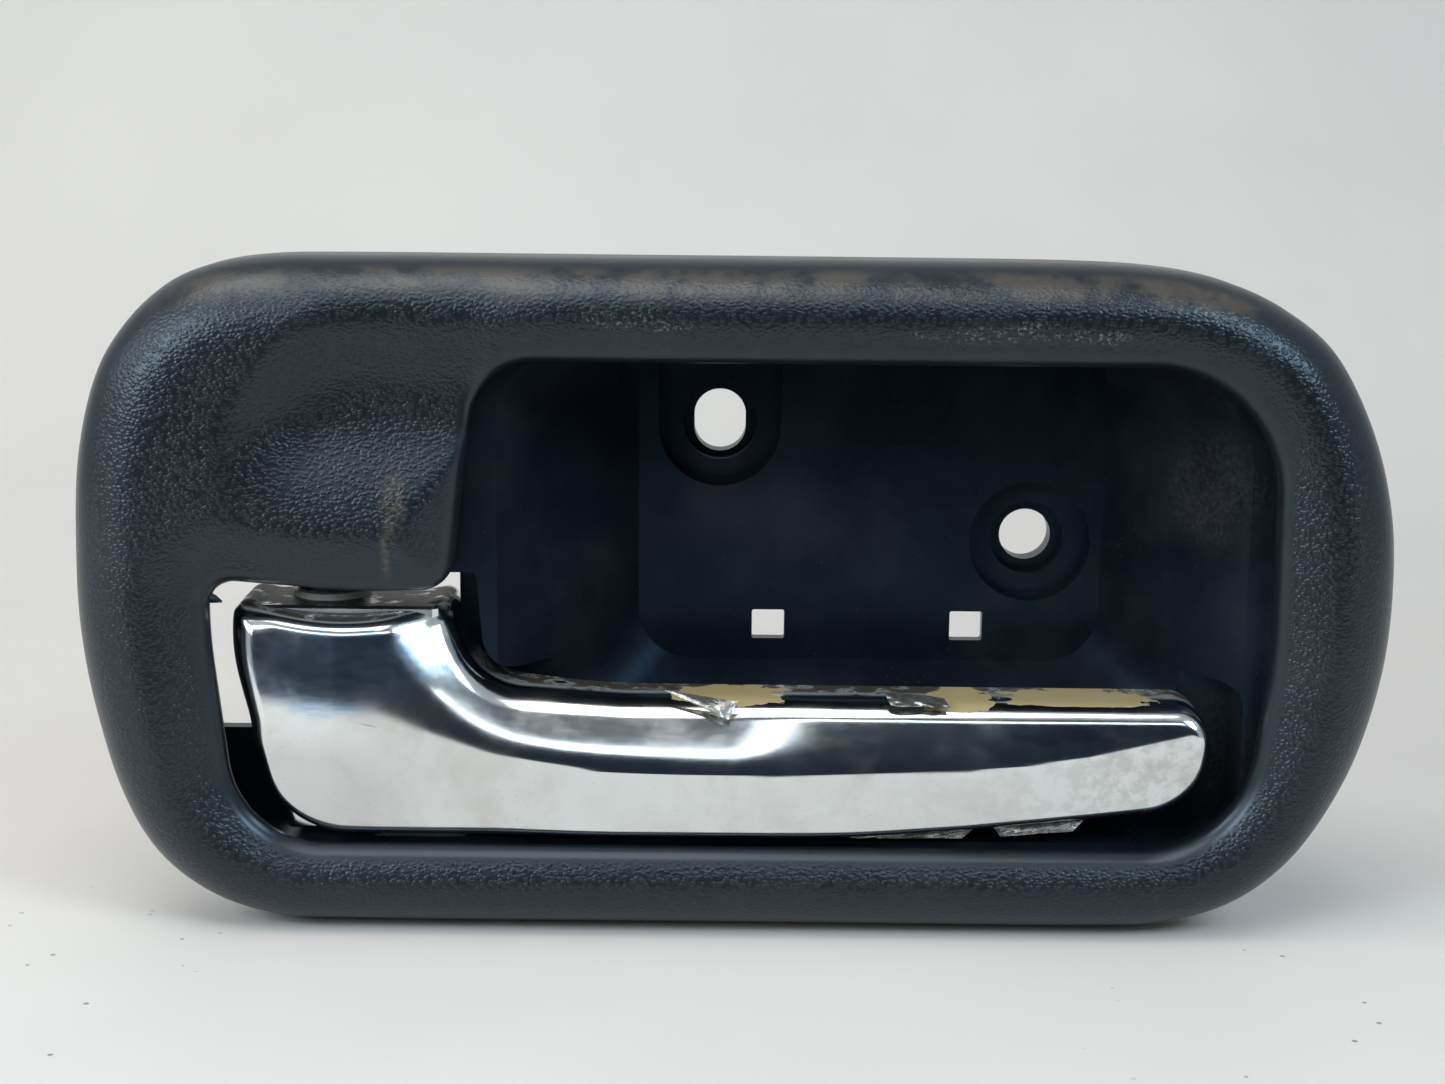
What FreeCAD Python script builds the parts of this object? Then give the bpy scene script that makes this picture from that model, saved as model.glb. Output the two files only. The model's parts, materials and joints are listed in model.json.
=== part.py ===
import FreeCAD, Part
import math
import os
import re

import Sketcher

# Inside door handle of a car: a grained bezel, the recessed cup behind it, a plated lever on an upright
# pin, and the rod clip on the lever's crank arm.
# Frame: +X to the right as the user faces the handle, -Y towards the user, +Y into the door, +Z up.
# The origin is the centre of the bezel's outline, in the plane of its back edge, which seats on the door
# panel. Lengths are in millimetres, angles in degrees.

SIZES = {
    # bezel outline, rim section and wall
    "bezel_width": 166.6, "bezel_height": 85.4, "bezel_depth": 14.0, "bezel_wall": 2.4, "bezel_round": 9.5,
    "side_peak": 4.0, "upper_inset": 1.6, "lower_inset": 8.0, "side_radius": 60.0,
    "upper_left_radius": 24.0, "upper_right_radius": 28.0, "lower_radius": 26.0,
    # L-shaped opening in the bezel: the cup's mouth and the lever's slot to its left
    "mouth_left": -32.4, "mouth_right": 66.8, "mouth_top": 30.3, "mouth_bottom": -31.8,
    "slot_left": -65.3, "slot_top": 2.2, "slot_taper": 2.8,
    "mouth_small_radius": 8.0, "mouth_large_radius": 15.0, "slot_radius": 3.5, "slot_foot_radius": 11.0,
    "lip_wall": 2.2, "lip_round": 2.2, "lip_back": 8.5,
    # cup housing: mounting plate, cup walls, panel with its two screw bosses
    "cup_wall": 2.0, "collar_wall": 2.6, "mouth_step": 0.5,
    "plate_front": 5.5, "plate_thickness": 2.0, "plate_clearance": 0.8,
    "panel_left": -12.9, "panel_right": 49.5, "panel_top": 31.5, "panel_bottom": -13.0,
    "panel_depth": 16.0, "panel_radius": 7.0,
    "slot_hole_x": -2.1, "slot_hole_z": 19.0, "round_hole_x": 39.9, "round_hole_z": 3.6,
    "screw_hole_radius": 3.5, "slot_hole_length": 8.5, "recess_radius": 8.2, "recess_depth": 3.0,
    "recess_top_radius": 1.0,
    "step_radius": 5.0, "step_depth": 2.5, "hole_wall": 3.5,
    "window_width": 4.4, "window_height": 4.0, "window_z": -8.2, "window_left_x": 4.7,
    "window_right_x": 31.6, "window_top_x": 19.7, "window_top_z": 29.4,
    # lever bay behind the slot, open at the back behind the hub
    "bay_left": -69.5, "bay_right": 65.0, "bay_top": 3.0, "bay_depth": 3.5, "bay_radius": 5.0,
    "hub_opening_right": -34.5, "hub_shield_right": -62.0, "hub_shield_top": -20.0,
    "hub_shield_radius": 0.6, "hub_shield_slant": 4.2, "hub_shield_bend": -26.0,
    "hub_step": -8.0, "hub_step_rise": 1.5, "hub_gap": 0.1, "grip_bay_top": -10.8, "grip_bay_left": -31.6,
    # pivot: pin, bushes, ears and retaining ring
    "pin_x": -52.0, "pin_y": 2.0, "pin_radius": 2.5, "pin_head_radius": 4.0, "pin_head": 1.5,
    "pin_tail": 2.0, "running_gap": 0.05, "end_gap": 0.3,
    "ear_thickness": 4.5, "ear_radius": 6.4, "ear_boss_radius": 4.6,
    "bush_wall": 0.85, "bush_flange_radius": 5.0, "bush_flange": 0.8,
    "ring_groove_depth": 0.5, "ring_thickness": 0.7, "ring_radius": 4.4, "ring_mouth": 3.2,
    # lever
    "lever_left": -62.8, "lever_right": 60.2, "lever_top": -1.4, "lever_bottom": -30.7,
    "grip_top": -13.2, "neck_x": -35.6, "lever_back": 0.5, "hub_back": 6.5, "hub_wall": 2.5,
    "lug_thickness": 3.0, "lever_shell": 2.6, "grip_hollow_front": -5.5, "hollow_end": 17.0,
    "arm_length": 28.0, "arm_width": 7.0, "arm_top": -14.5, "arm_thickness": 4.0,
    "eye_radius": 5.0, "eye_bore": 2.5,
    # torsion spring round the pin
    "spring_radius": 3.9, "wire_radius": 0.6, "spring_pitch": 1.35, "spring_turns": 6.0,
    "spring_leg_front": 8.4, "spring_leg_back": 6.5,
    # rubber stops
    "rest_stop_x": 47.0, "rest_stop_z": -26.2, "stop_radius": 2.2, "stop_stem_radius": 1.7,
    "stop_bulb": 0.5, "stop_bulb_length": 1.4,
    "open_stop_face": -38.9, "open_stop_y": 13.0, "bracket_left": -34.0, "bracket_thickness": 2.5,
    "bracket_back": 16.5, "bracket_margin": 6.0,
    # rod clip
    "clip_stem_gap": 0.05, "clip_head_radius": 4.2, "clip_head": 1.2, "clip_length": 12.0,
    "clip_width": 9.0, "clip_height": 7.2, "rod_radius": 2.0,
    # self-tapping screws that hold the bezel to the plate
    "screw_radius": 1.45, "screw_length": 7.0, "screw_head_radius": 2.8, "screw_head": 2.0,
    "screw_gap": 0.15, "boss_gap": 0.05, "boss_radius": 3.0, "boss_reach": 6.2, "cross_width": 0.8,
    "cross_length": 3.2, "cross_depth": 1.2,
}

# Screw places on the plate: name, inset from the bezel's left or right edge, height as a share of half the
# bezel's height. A minus sign on the inset counts from the right edge.
SCREWS = [
    ("upper_left", 17.3, 0.656),
    ("upper_right", -13.9, 0.621),
    ("lower_left", 7.9, -0.129),
    ("lower_right", -10.6, -0.492),
]
for screw_name, inset, share in SCREWS:
    edge = -SIZES["bezel_width"] / 2 if inset > 0 else SIZES["bezel_width"] / 2
    SIZES["screw_" + screw_name + "_x"] = edge + inset
    SIZES["screw_" + screw_name + "_z"] = share * SIZES["bezel_height"] / 2

# Lever section stations along X: x, ridge height z, ridge y, top z, top y, bottom z, bottom y.
# The upper facet falls back from the ridge to the top edge, the lower facet to the bottom edge.
STATIONS = [
    (-66.0, -8.0, -8.4, 1.0, -7.8, -34.0, -5.6),
    (-43.0, -9.0, -11.2, 1.0, -9.2, -34.0, -6.6),
    (-30.0, -17.4, -11.4, -6.0, -6.6, -34.0, -6.8),
    (0.0, -20.4, -11.5, -9.0, -6.2, -34.0, -7.0),
    (36.0, -19.2, -11.0, -9.0, -6.4, -34.0, -6.8),
    (64.0, -15.5, -9.6, -9.0, -6.8, -34.0, -6.0),
]

doc = FreeCAD.newDocument("inside_door_handle")
sheet = doc.addObject("Spreadsheet::Sheet", "Sizes")
for row, (alias, size) in enumerate(SIZES.items(), start=1):
    sheet.set("A%d" % row, alias)
    sheet.set("B%d" % row, str(size))
    sheet.setAlias("B%d" % row, alias)
doc.recompute()

WORD = re.compile(r"[a-z][a-z_]*[a-z]")


def bound(text):
    """An expression in size names, as the document's expression on the sheet."""
    return WORD.sub(lambda m: "Sizes." + m.group(0) if m.group(0) in SIZES else m.group(0), str(text))


def new_body(label, x=None, y=None, z=None):
    """A part body with its own label, placed by size names."""
    body = doc.addObject("PartDesign::Body", label)
    body.Label = label
    for axis, place in zip("xyz", (x, y, z)):
        if place is not None:
            body.setExpression("Placement.Base." + axis, bound(place))
    return body


def sketch_on(body, name, role, offset):
    """A sketch on one of the body's own base planes, lifted along the plane's normal."""
    sketch = body.newObject("Sketcher::SketchObject", name)
    base = [o for o in body.Origin.OriginFeatures if o.Role == role][0]
    sketch.AttachmentSupport = [(base, "")]
    sketch.MapMode = "FlatFace"
    sketch.setExpression("AttachmentOffset.Base.z", bound(offset))
    doc.recompute()
    return sketch


def measured(sketch, text):
    """The number that an expression in size names gives now."""
    return float(sketch.evalExpression(bound(text)))


def pin_point(sketch, geometry, vertex, u, v):
    """Ties a sketch point to two expressions, measured from the sketch's origin."""
    for kind, text in (("DistanceX", u), ("DistanceY", v)):
        index = sketch.addConstraint(
            Sketcher.Constraint(kind, -1, 1, geometry, vertex, measured(sketch, text)))
        sketch.setExpression("Constraints[%d]" % index, bound(text))


def draw_circle(sketch, u, v, radius):
    """A circle whose centre and radius are expressions."""
    centre = FreeCAD.Vector(measured(sketch, u), measured(sketch, v), 0)
    circle = sketch.addGeometry(
        Part.Circle(centre, FreeCAD.Vector(0, 0, 1), measured(sketch, radius)), False)
    pin_point(sketch, circle, 3, u, v)
    index = sketch.addConstraint(Sketcher.Constraint("Radius", circle, measured(sketch, radius)))
    sketch.setExpression("Constraints[%d]" % index, bound(radius))


def draw_polygon(sketch, corners):
    """A closed loop of straight lines through corners given as pairs of expressions."""
    points = [FreeCAD.Vector(measured(sketch, u), measured(sketch, v), 0) for u, v in corners]
    lines = []
    for index, point in enumerate(points):
        following = points[(index + 1) % len(points)]
        lines.append(sketch.addGeometry(Part.LineSegment(point, following), False))
    for index, line in enumerate(lines):
        sketch.addConstraint(
            Sketcher.Constraint("Coincident", line, 2, lines[(index + 1) % len(lines)], 1))
        pin_point(sketch, line, 1, *corners[index])


def draw_rounded(sketch, corners):
    """A closed loop of straight runs joined by tangent arcs; each corner is x, z and radius."""
    count = len(corners)
    points = [FreeCAD.Vector(measured(sketch, c[0]), measured(sketch, c[1]), 0) for c in corners]
    radii = [measured(sketch, c[2]) for c in corners]
    arcs = []
    ends = []
    for index in range(count):
        before = (points[index - 1] - points[index]).normalize()
        after = (points[(index + 1) % count] - points[index]).normalize()
        half = math.acos(max(-1.0, min(1.0, before.dot(after)))) / 2
        reach = radii[index] / math.tan(half)
        centre = points[index] + (before + after).normalize() * (radii[index] / math.sin(half))
        start = points[index] + before * reach
        end = points[index] + after * reach
        turns_left = before.cross(after).z < 0
        first, last = (start, end) if turns_left else (end, start)
        arc = Part.ArcOfCircle(
            Part.Circle(centre, FreeCAD.Vector(0, 0, 1), radii[index]),
            math.atan2(first.y - centre.y, first.x - centre.x),
            math.atan2(last.y - centre.y, last.x - centre.x))
        arcs.append((sketch.addGeometry(arc, False), 1 if turns_left else 2, 2 if turns_left else 1))
        ends.append((start, end))
    lines = []
    for index in range(count):
        run = Part.LineSegment(ends[index][1], ends[(index + 1) % count][0])
        lines.append(sketch.addGeometry(run, False))
    for index in range(count):
        arc, arc_start, arc_end = arcs[index]
        corner = sketch.addGeometry(Part.Point(points[index]), True)
        pin_point(sketch, corner, 1, corners[index][0], corners[index][1])
        sketch.addConstraint(Sketcher.Constraint("Tangent", lines[index - 1], 2, arc, arc_start))
        sketch.addConstraint(Sketcher.Constraint("Tangent", arc, arc_end, lines[index], 1))
        sketch.addConstraint(Sketcher.Constraint("PointOnObject", corner, 1, lines[index - 1]))
        sketch.addConstraint(Sketcher.Constraint("PointOnObject", corner, 1, lines[index]))
        datum = sketch.addConstraint(Sketcher.Constraint("Radius", arc, radii[index]))
        sketch.setExpression("Constraints[%d]" % datum, bound(corners[index][2]))


def rounded_box(left, right, bottom, top, radius):
    """The four corners of a rectangle whose corners share one radius."""
    return [(left, top, radius), (right, top, radius), (right, bottom, radius), (left, bottom, radius)]


def extrude(body, name, role, low, high, draw, cut=False):
    """Adds or cuts the prism between two heights along a base plane's normal."""
    sketch = sketch_on(body, name + "_sketch", role, high if cut else low)
    draw(sketch)
    doc.recompute()
    feature = body.newObject("PartDesign::Pocket" if cut else "PartDesign::Pad", name)
    feature.Profile = sketch
    feature.setExpression("Length", bound("(%s) - (%s)" % (high, low)))
    before = body.Shape.Volume if cut else 0.0
    doc.recompute()
    if cut and not feature.Shape.Volume < before - 1e-3:
        raise ValueError(name + " cuts nothing")
    return feature


def along_y(body, name, front, back, draw, cut=False):
    """A prism from y=front to y=back; the sketch reads x and z."""
    return extrude(body, name, "XZ_Plane", "-(%s)" % back, "-(%s)" % front, draw, cut)


def along_z(body, name, low, high, draw, cut=False):
    """A prism from z=low to z=high; the sketch reads x and y."""
    return extrude(body, name, "XY_Plane", low, high, draw, cut)


def along_x(body, name, low, high, draw, cut=False):
    """A prism from x=low to x=high; the sketch reads y and z."""
    return extrude(body, name, "YZ_Plane", low, high, draw, cut)


def loft(body, name, role, sections, kind="PartDesign::AdditiveLoft", ruled=True):
    """A loft through sections; each is a height along the plane's normal and a drawing function."""
    sketches = []
    for index, (height, draw) in enumerate(sections):
        sketch = sketch_on(body, "%s_section_%d" % (name, index + 1), role, height)
        draw(sketch)
        sketches.append(sketch)
    doc.recompute()
    feature = body.newObject(kind, name)
    feature.Profile = sketches[0]
    feature.Sections = sketches[1:]
    feature.Ruled = ruled
    doc.recompute()
    return feature


def round_edges(body, name, radius, wanted):
    """Rounds the edges of the body's last feature that the test picks."""
    base = body.Tip
    picked = ["Edge%d" % (i + 1) for i, edge in enumerate(base.Shape.Edges) if wanted(edge)]
    feature = body.newObject("PartDesign::Fillet", name)
    feature.Base = (base, picked)
    feature.setExpression("Radius", bound(radius))
    doc.recompute()
    return feature


def lies_at_y(edge, y):
    """Does the whole edge lie in the plane at this y?"""
    box = edge.BoundBox
    return abs(box.YMin - y) < 1e-3 and abs(box.YMax - y) < 1e-3


def grown(corners, amount):
    """Rounded corners moved outwards by an amount; each corner carries its own outward signs."""
    return [("%s + %d * (%s)" % (x, sx, amount), "%s + %d * (%s)" % (z, sz, amount),
             "%s + %d * (%s)" % (radius, sr, amount)) for x, z, radius, sx, sz, sr in corners]


# Outlines: x, z, radius, then the outward signs of x, z and radius
BEZEL_OUTLINE = [
    ("-bezel_width / 2 + upper_inset", "bezel_height / 2", "upper_left_radius", -1, 1, 1),
    ("bezel_width / 2 - upper_inset", "bezel_height / 2", "upper_right_radius", 1, 1, 1),
    ("bezel_width / 2", "side_peak", "side_radius", 1, 0, 1),
    ("bezel_width / 2 - lower_inset", "-bezel_height / 2", "lower_radius", 1, -1, 1),
    ("-bezel_width / 2 + lower_inset", "-bezel_height / 2", "lower_radius", -1, -1, 1),
    ("-bezel_width / 2", "side_peak", "side_radius", -1, 0, 1),
]
OPENING = [
    ("mouth_left", "mouth_top", "mouth_small_radius", -1, 1, 1),
    ("mouth_right", "mouth_top", "mouth_large_radius", 1, 1, 1),
    ("mouth_right", "mouth_bottom", "mouth_large_radius", 1, -1, 1),
    ("slot_left + slot_taper", "mouth_bottom", "slot_foot_radius", -1, -1, 1),
    ("slot_left", "slot_top", "slot_radius", -1, 1, 1),
    ("mouth_left - slot_taper", "slot_top - 1", "slot_radius + lip_wall", -1, 1, -1),
]
MOUTH = [
    ("mouth_left", "mouth_top", "mouth_small_radius", -1, 1, 1),
    ("mouth_right", "mouth_top", "mouth_large_radius", 1, 1, 1),
    ("mouth_right", "mouth_bottom", "mouth_large_radius", 1, -1, 1),
    ("mouth_left", "mouth_bottom", "mouth_small_radius", -1, -1, 1),
]
PANEL = [
    ("panel_left", "panel_top", "panel_radius", -1, 1, 1),
    ("panel_right", "panel_top", "panel_radius", 1, 1, 1),
    ("panel_right", "panel_bottom", "panel_radius", 1, -1, 1),
    ("panel_left", "panel_bottom", "panel_radius", -1, -1, 1),
]
LEVER_OUTLINE = [
    ("lever_left + 0.6", "lever_top", "1.5"),
    ("neck_x - 1.2", "lever_top - 1.6", "2.5"),
    ("neck_x + 1.4", "grip_top + 1.2", "8"),
    ("lever_right + 0.2", "grip_top", "4"),
    ("lever_right - 0.6", "lever_bottom + 2.4", "8"),
    ("neck_x + 40", "lever_bottom", "60"),
    ("lever_left + 4.6", "lever_bottom", "9"),
    ("lever_left", "lever_top - 6", "20"),
]


def build_bezel():
    """Grained front trim: a domed frame with an L-shaped opening and a rolled inner lip."""
    body = new_body("bezel")
    along_y(body, "bezel_blank", "-bezel_depth", "0",
            lambda s: draw_rounded(s, grown(BEZEL_OUTLINE, "0")))
    front = -SIZES["bezel_depth"]
    round_edges(body, "bezel_dome", "bezel_round", lambda e: lies_at_y(e, front))
    shell = body.newObject("PartDesign::Thickness", "bezel_shell")
    back = ["Face%d" % (i + 1) for i, face in enumerate(body.getObject("bezel_dome").Shape.Faces)
            if abs(face.BoundBox.YMin) < 1e-3 and abs(face.BoundBox.YMax) < 1e-3]
    shell.Base = (body.getObject("bezel_dome"), back)
    shell.setExpression("Value", bound("bezel_wall"))
    shell.Reversed = True
    doc.recompute()
    along_y(body, "lip_wall", "-(bezel_depth - bezel_wall / 2)", "-lip_back",
            lambda s: draw_rounded(s, grown(OPENING, "lip_wall")))
    along_y(body, "opening", "-(bezel_depth + 1)", "0",
            lambda s: draw_rounded(s, grown(OPENING, "0")), cut=True)
    inner = SIZES["mouth_right"] + 1
    round_edges(body, "lip_roll", "lip_round", lambda e: lies_at_y(e, front)
                and max(abs(e.BoundBox.XMin), abs(e.BoundBox.XMax)) < inner
                and e.BoundBox.ZMax < SIZES["mouth_top"] + 1 and e.BoundBox.ZMin > SIZES["mouth_bottom"] - 1)
    for place, _, _ in SCREWS:
        x, z = "screw_%s_x" % place, "screw_%s_z" % place
        along_y(body, "boss_" + place, "-(plate_front + boss_reach)", "-plate_front",
                lambda s: draw_circle(s, x, z, "boss_radius"))
        along_y(body, "pilot_" + place, "-(plate_front + boss_reach - 0.8)", "-plate_front",
                lambda s: draw_circle(s, x, z, "screw_radius + boss_gap"), cut=True)
    return body


def build_cup_housing():
    """Moulded cup behind the bezel: plate, sloping walls, panel with two screw bosses, lever bay, ears."""
    body = new_body("cup_housing")
    plate_back = "-(plate_front - plate_thickness)"
    along_y(body, "plate", "-plate_front", plate_back,
            lambda s: draw_rounded(s, grown(BEZEL_OUTLINE, "-(bezel_wall + plate_clearance)")))
    along_y(body, "collar", "-lip_back", "-plate_front",
            lambda s: draw_rounded(s, grown(OPENING, "collar_wall")))
    loft(body, "cup_outside", "XZ_Plane", [
        ("lip_back", lambda s: draw_rounded(s, grown(MOUTH, "cup_wall"))),
        ("-(panel_depth + cup_wall)", lambda s: draw_rounded(s, grown(PANEL, "cup_wall")))])
    bay_box = rounded_box("bay_left - cup_wall", "bay_right + cup_wall", "mouth_bottom - cup_wall",
                          "bay_top + cup_wall", "bay_radius + cup_wall")
    along_y(body, "bay_outside", "-plate_front", "bay_depth + cup_wall",
            lambda s: draw_rounded(s, bay_box))
    ears = (("upper_ear", "bay_top", "bay_top + ear_thickness"),
            ("lower_ear", "mouth_bottom - ear_thickness", "mouth_bottom"))
    for name, low, high in ears:
        along_z(body, name, low, high, lambda s: draw_rounded(s, [
            ("pin_x - ear_radius", "pin_y + ear_radius", "ear_radius - 0.1"),
            ("pin_x + ear_radius", "pin_y + ear_radius", "ear_radius - 0.1"),
            ("pin_x + ear_radius", "-plate_front + 1", "0.5"),
            ("pin_x - ear_radius", "-plate_front + 1", "0.5")]))
    holes = (("slot", "slot_hole_x", "slot_hole_z"), ("round", "round_hole_x", "round_hole_z"))
    recess_floor = "panel_depth + recess_depth"
    step_floor = recess_floor + " + step_depth"
    along_y(body, "slot_recess_top_wall", "panel_depth + 1", recess_floor + " + cup_wall",
            lambda s: draw_rounded(s, rounded_box(
                "slot_hole_x - recess_radius - cup_wall", "slot_hole_x + recess_radius + cup_wall",
                "slot_hole_z", "panel_top + cup_wall", "recess_top_radius + cup_wall")))
    for name, x, z in holes:
        along_y(body, name + "_recess_wall", "panel_depth + 1", recess_floor + " + cup_wall",
                lambda s: draw_circle(s, x, z, "recess_radius + cup_wall"))
        along_y(body, name + "_boss", recess_floor + " + 1", step_floor + " + hole_wall",
                lambda s: draw_circle(s, x, z, "step_radius + cup_wall"))
    along_z(body, "stop_bracket", "arm_top - arm_thickness / 2 - bracket_margin",
            "arm_top - arm_thickness / 2 + bracket_margin", lambda s: draw_polygon(s, [
                ("bracket_left", "bay_depth + 0.5"),
                ("bracket_left + bracket_thickness", "bay_depth + 0.5"),
                ("bracket_left + bracket_thickness", "bracket_back"),
                ("bracket_left", "bracket_back")]))
    loft(body, "cup_inside", "XZ_Plane", [
        ("lip_back", lambda s: draw_rounded(s, grown(MOUTH, "0"))),
        ("-panel_depth", lambda s: draw_rounded(s, grown(PANEL, "0")))], kind="PartDesign::SubtractiveLoft")
    along_y(body, "collar_inside", "-lip_back", "-plate_front",
            lambda s: draw_rounded(s, grown(OPENING, "mouth_step")), cut=True)
    along_y(body, "slot_relief", "-lip_back", "-plate_front", lambda s: draw_rounded(s, rounded_box(
        "bay_left", "pin_x", "mouth_bottom", "slot_top", "1")), cut=True)
    along_y(body, "bay_inside", "-plate_front", "bay_depth", lambda s: draw_rounded(s, [
        ("bay_left", "bay_top", "bay_radius"), ("grip_bay_left - 1", "bay_top", "1"),
        ("grip_bay_left", "grip_bay_top + 1", "bay_radius"), ("bay_right", "grip_bay_top", "bay_radius - 2"),
        ("bay_right", "mouth_bottom", "bay_radius"), ("bay_left", "mouth_bottom", "bay_radius")]), cut=True)
    along_y(body, "hub_opening", "0", "bay_depth + cup_wall", lambda s: draw_rounded(s, [
        ("bay_left", "bay_top", "bay_radius - 2"), ("neck_x - hub_gap", "bay_top", "hub_shield_radius"),
        ("neck_x - hub_gap", "hub_step", "hub_shield_radius"),
        ("hub_opening_right", "hub_step - hub_step_rise", "hub_shield_radius"),
        ("hub_opening_right", "mouth_bottom", "bay_radius - 2"),
        ("hub_shield_right + hub_shield_slant", "mouth_bottom", "hub_shield_radius"),
        ("hub_shield_right + hub_shield_slant / 3", "hub_shield_bend", "hub_shield_radius"),
        ("hub_shield_right", "hub_shield_top", "hub_shield_radius"),
        ("bay_left", "hub_shield_top", "hub_shield_radius")]), cut=True)
    along_z(body, "ear_boss", "lever_top + bush_flange + end_gap", "bay_top + 0.2",
            lambda s: draw_circle(s, "pin_x", "pin_y", "ear_boss_radius"))
    windows = (("window_left", "window_left_x", "window_z"), ("window_right", "window_right_x", "window_z"),
               ("window_top", "window_top_x", "window_top_z"))
    for name, x, z in windows:
        along_y(body, name, "panel_depth - 1", "panel_depth + cup_wall + 0.5", lambda s: draw_rounded(
            s, rounded_box(x + " - window_width / 2", x + " + window_width / 2",
                           z + " - window_height / 2", z + " + window_height / 2", "0.3")), cut=True)
    along_y(body, "slot_recess_top", "panel_depth - 1", recess_floor, lambda s: draw_rounded(s, rounded_box(
        "slot_hole_x - recess_radius", "slot_hole_x + recess_radius", "slot_hole_z", "panel_top",
        "recess_top_radius")), cut=True)
    for name, x, z in holes:
        along_y(body, name + "_recess", "panel_depth - 1", recess_floor,
                lambda s: draw_circle(s, x, z, "recess_radius"), cut=True)
        along_y(body, name + "_step", recess_floor + " - 1", step_floor,
                lambda s: draw_circle(s, x, z, "step_radius"), cut=True)
    through = step_floor + " + hole_wall + 1"
    along_y(body, "round_hole", step_floor + " - 1", through,
            lambda s: draw_circle(s, "round_hole_x", "round_hole_z", "screw_hole_radius"), cut=True)
    along_y(body, "slot_hole", step_floor + " - 1", through, lambda s: draw_rounded(s, rounded_box(
        "slot_hole_x - screw_hole_radius", "slot_hole_x + screw_hole_radius",
        "slot_hole_z - slot_hole_length / 2", "slot_hole_z + slot_hole_length / 2",
        "screw_hole_radius - 0.05")), cut=True)
    for place, _, _ in SCREWS:
        along_y(body, "clearance_" + place, "-(plate_front + 1)", plate_back + " + 1",
                lambda s: draw_circle(s, "screw_%s_x" % place, "screw_%s_z" % place,
                                      "screw_radius + screw_gap"), cut=True)
    along_z(body, "pin_bore", "mouth_bottom - ear_thickness - 1", "bay_top + ear_thickness + 1",
            lambda s: draw_circle(s, "pin_x", "pin_y", "pin_radius"), cut=True)
    along_y(body, "rest_stop_hole", "bay_depth - 0.5", "bay_depth + cup_wall + 0.5",
            lambda s: draw_circle(s, "rest_stop_x", "rest_stop_z", "stop_stem_radius"), cut=True)
    stop_z = "arm_top - arm_thickness / 2"
    along_x(body, "open_stop_hole", "bracket_left - 1", "bracket_left + bracket_thickness + 1",
            lambda s: draw_circle(s, "open_stop_y", stop_z, "stop_stem_radius"), cut=True)
    return body


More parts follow.
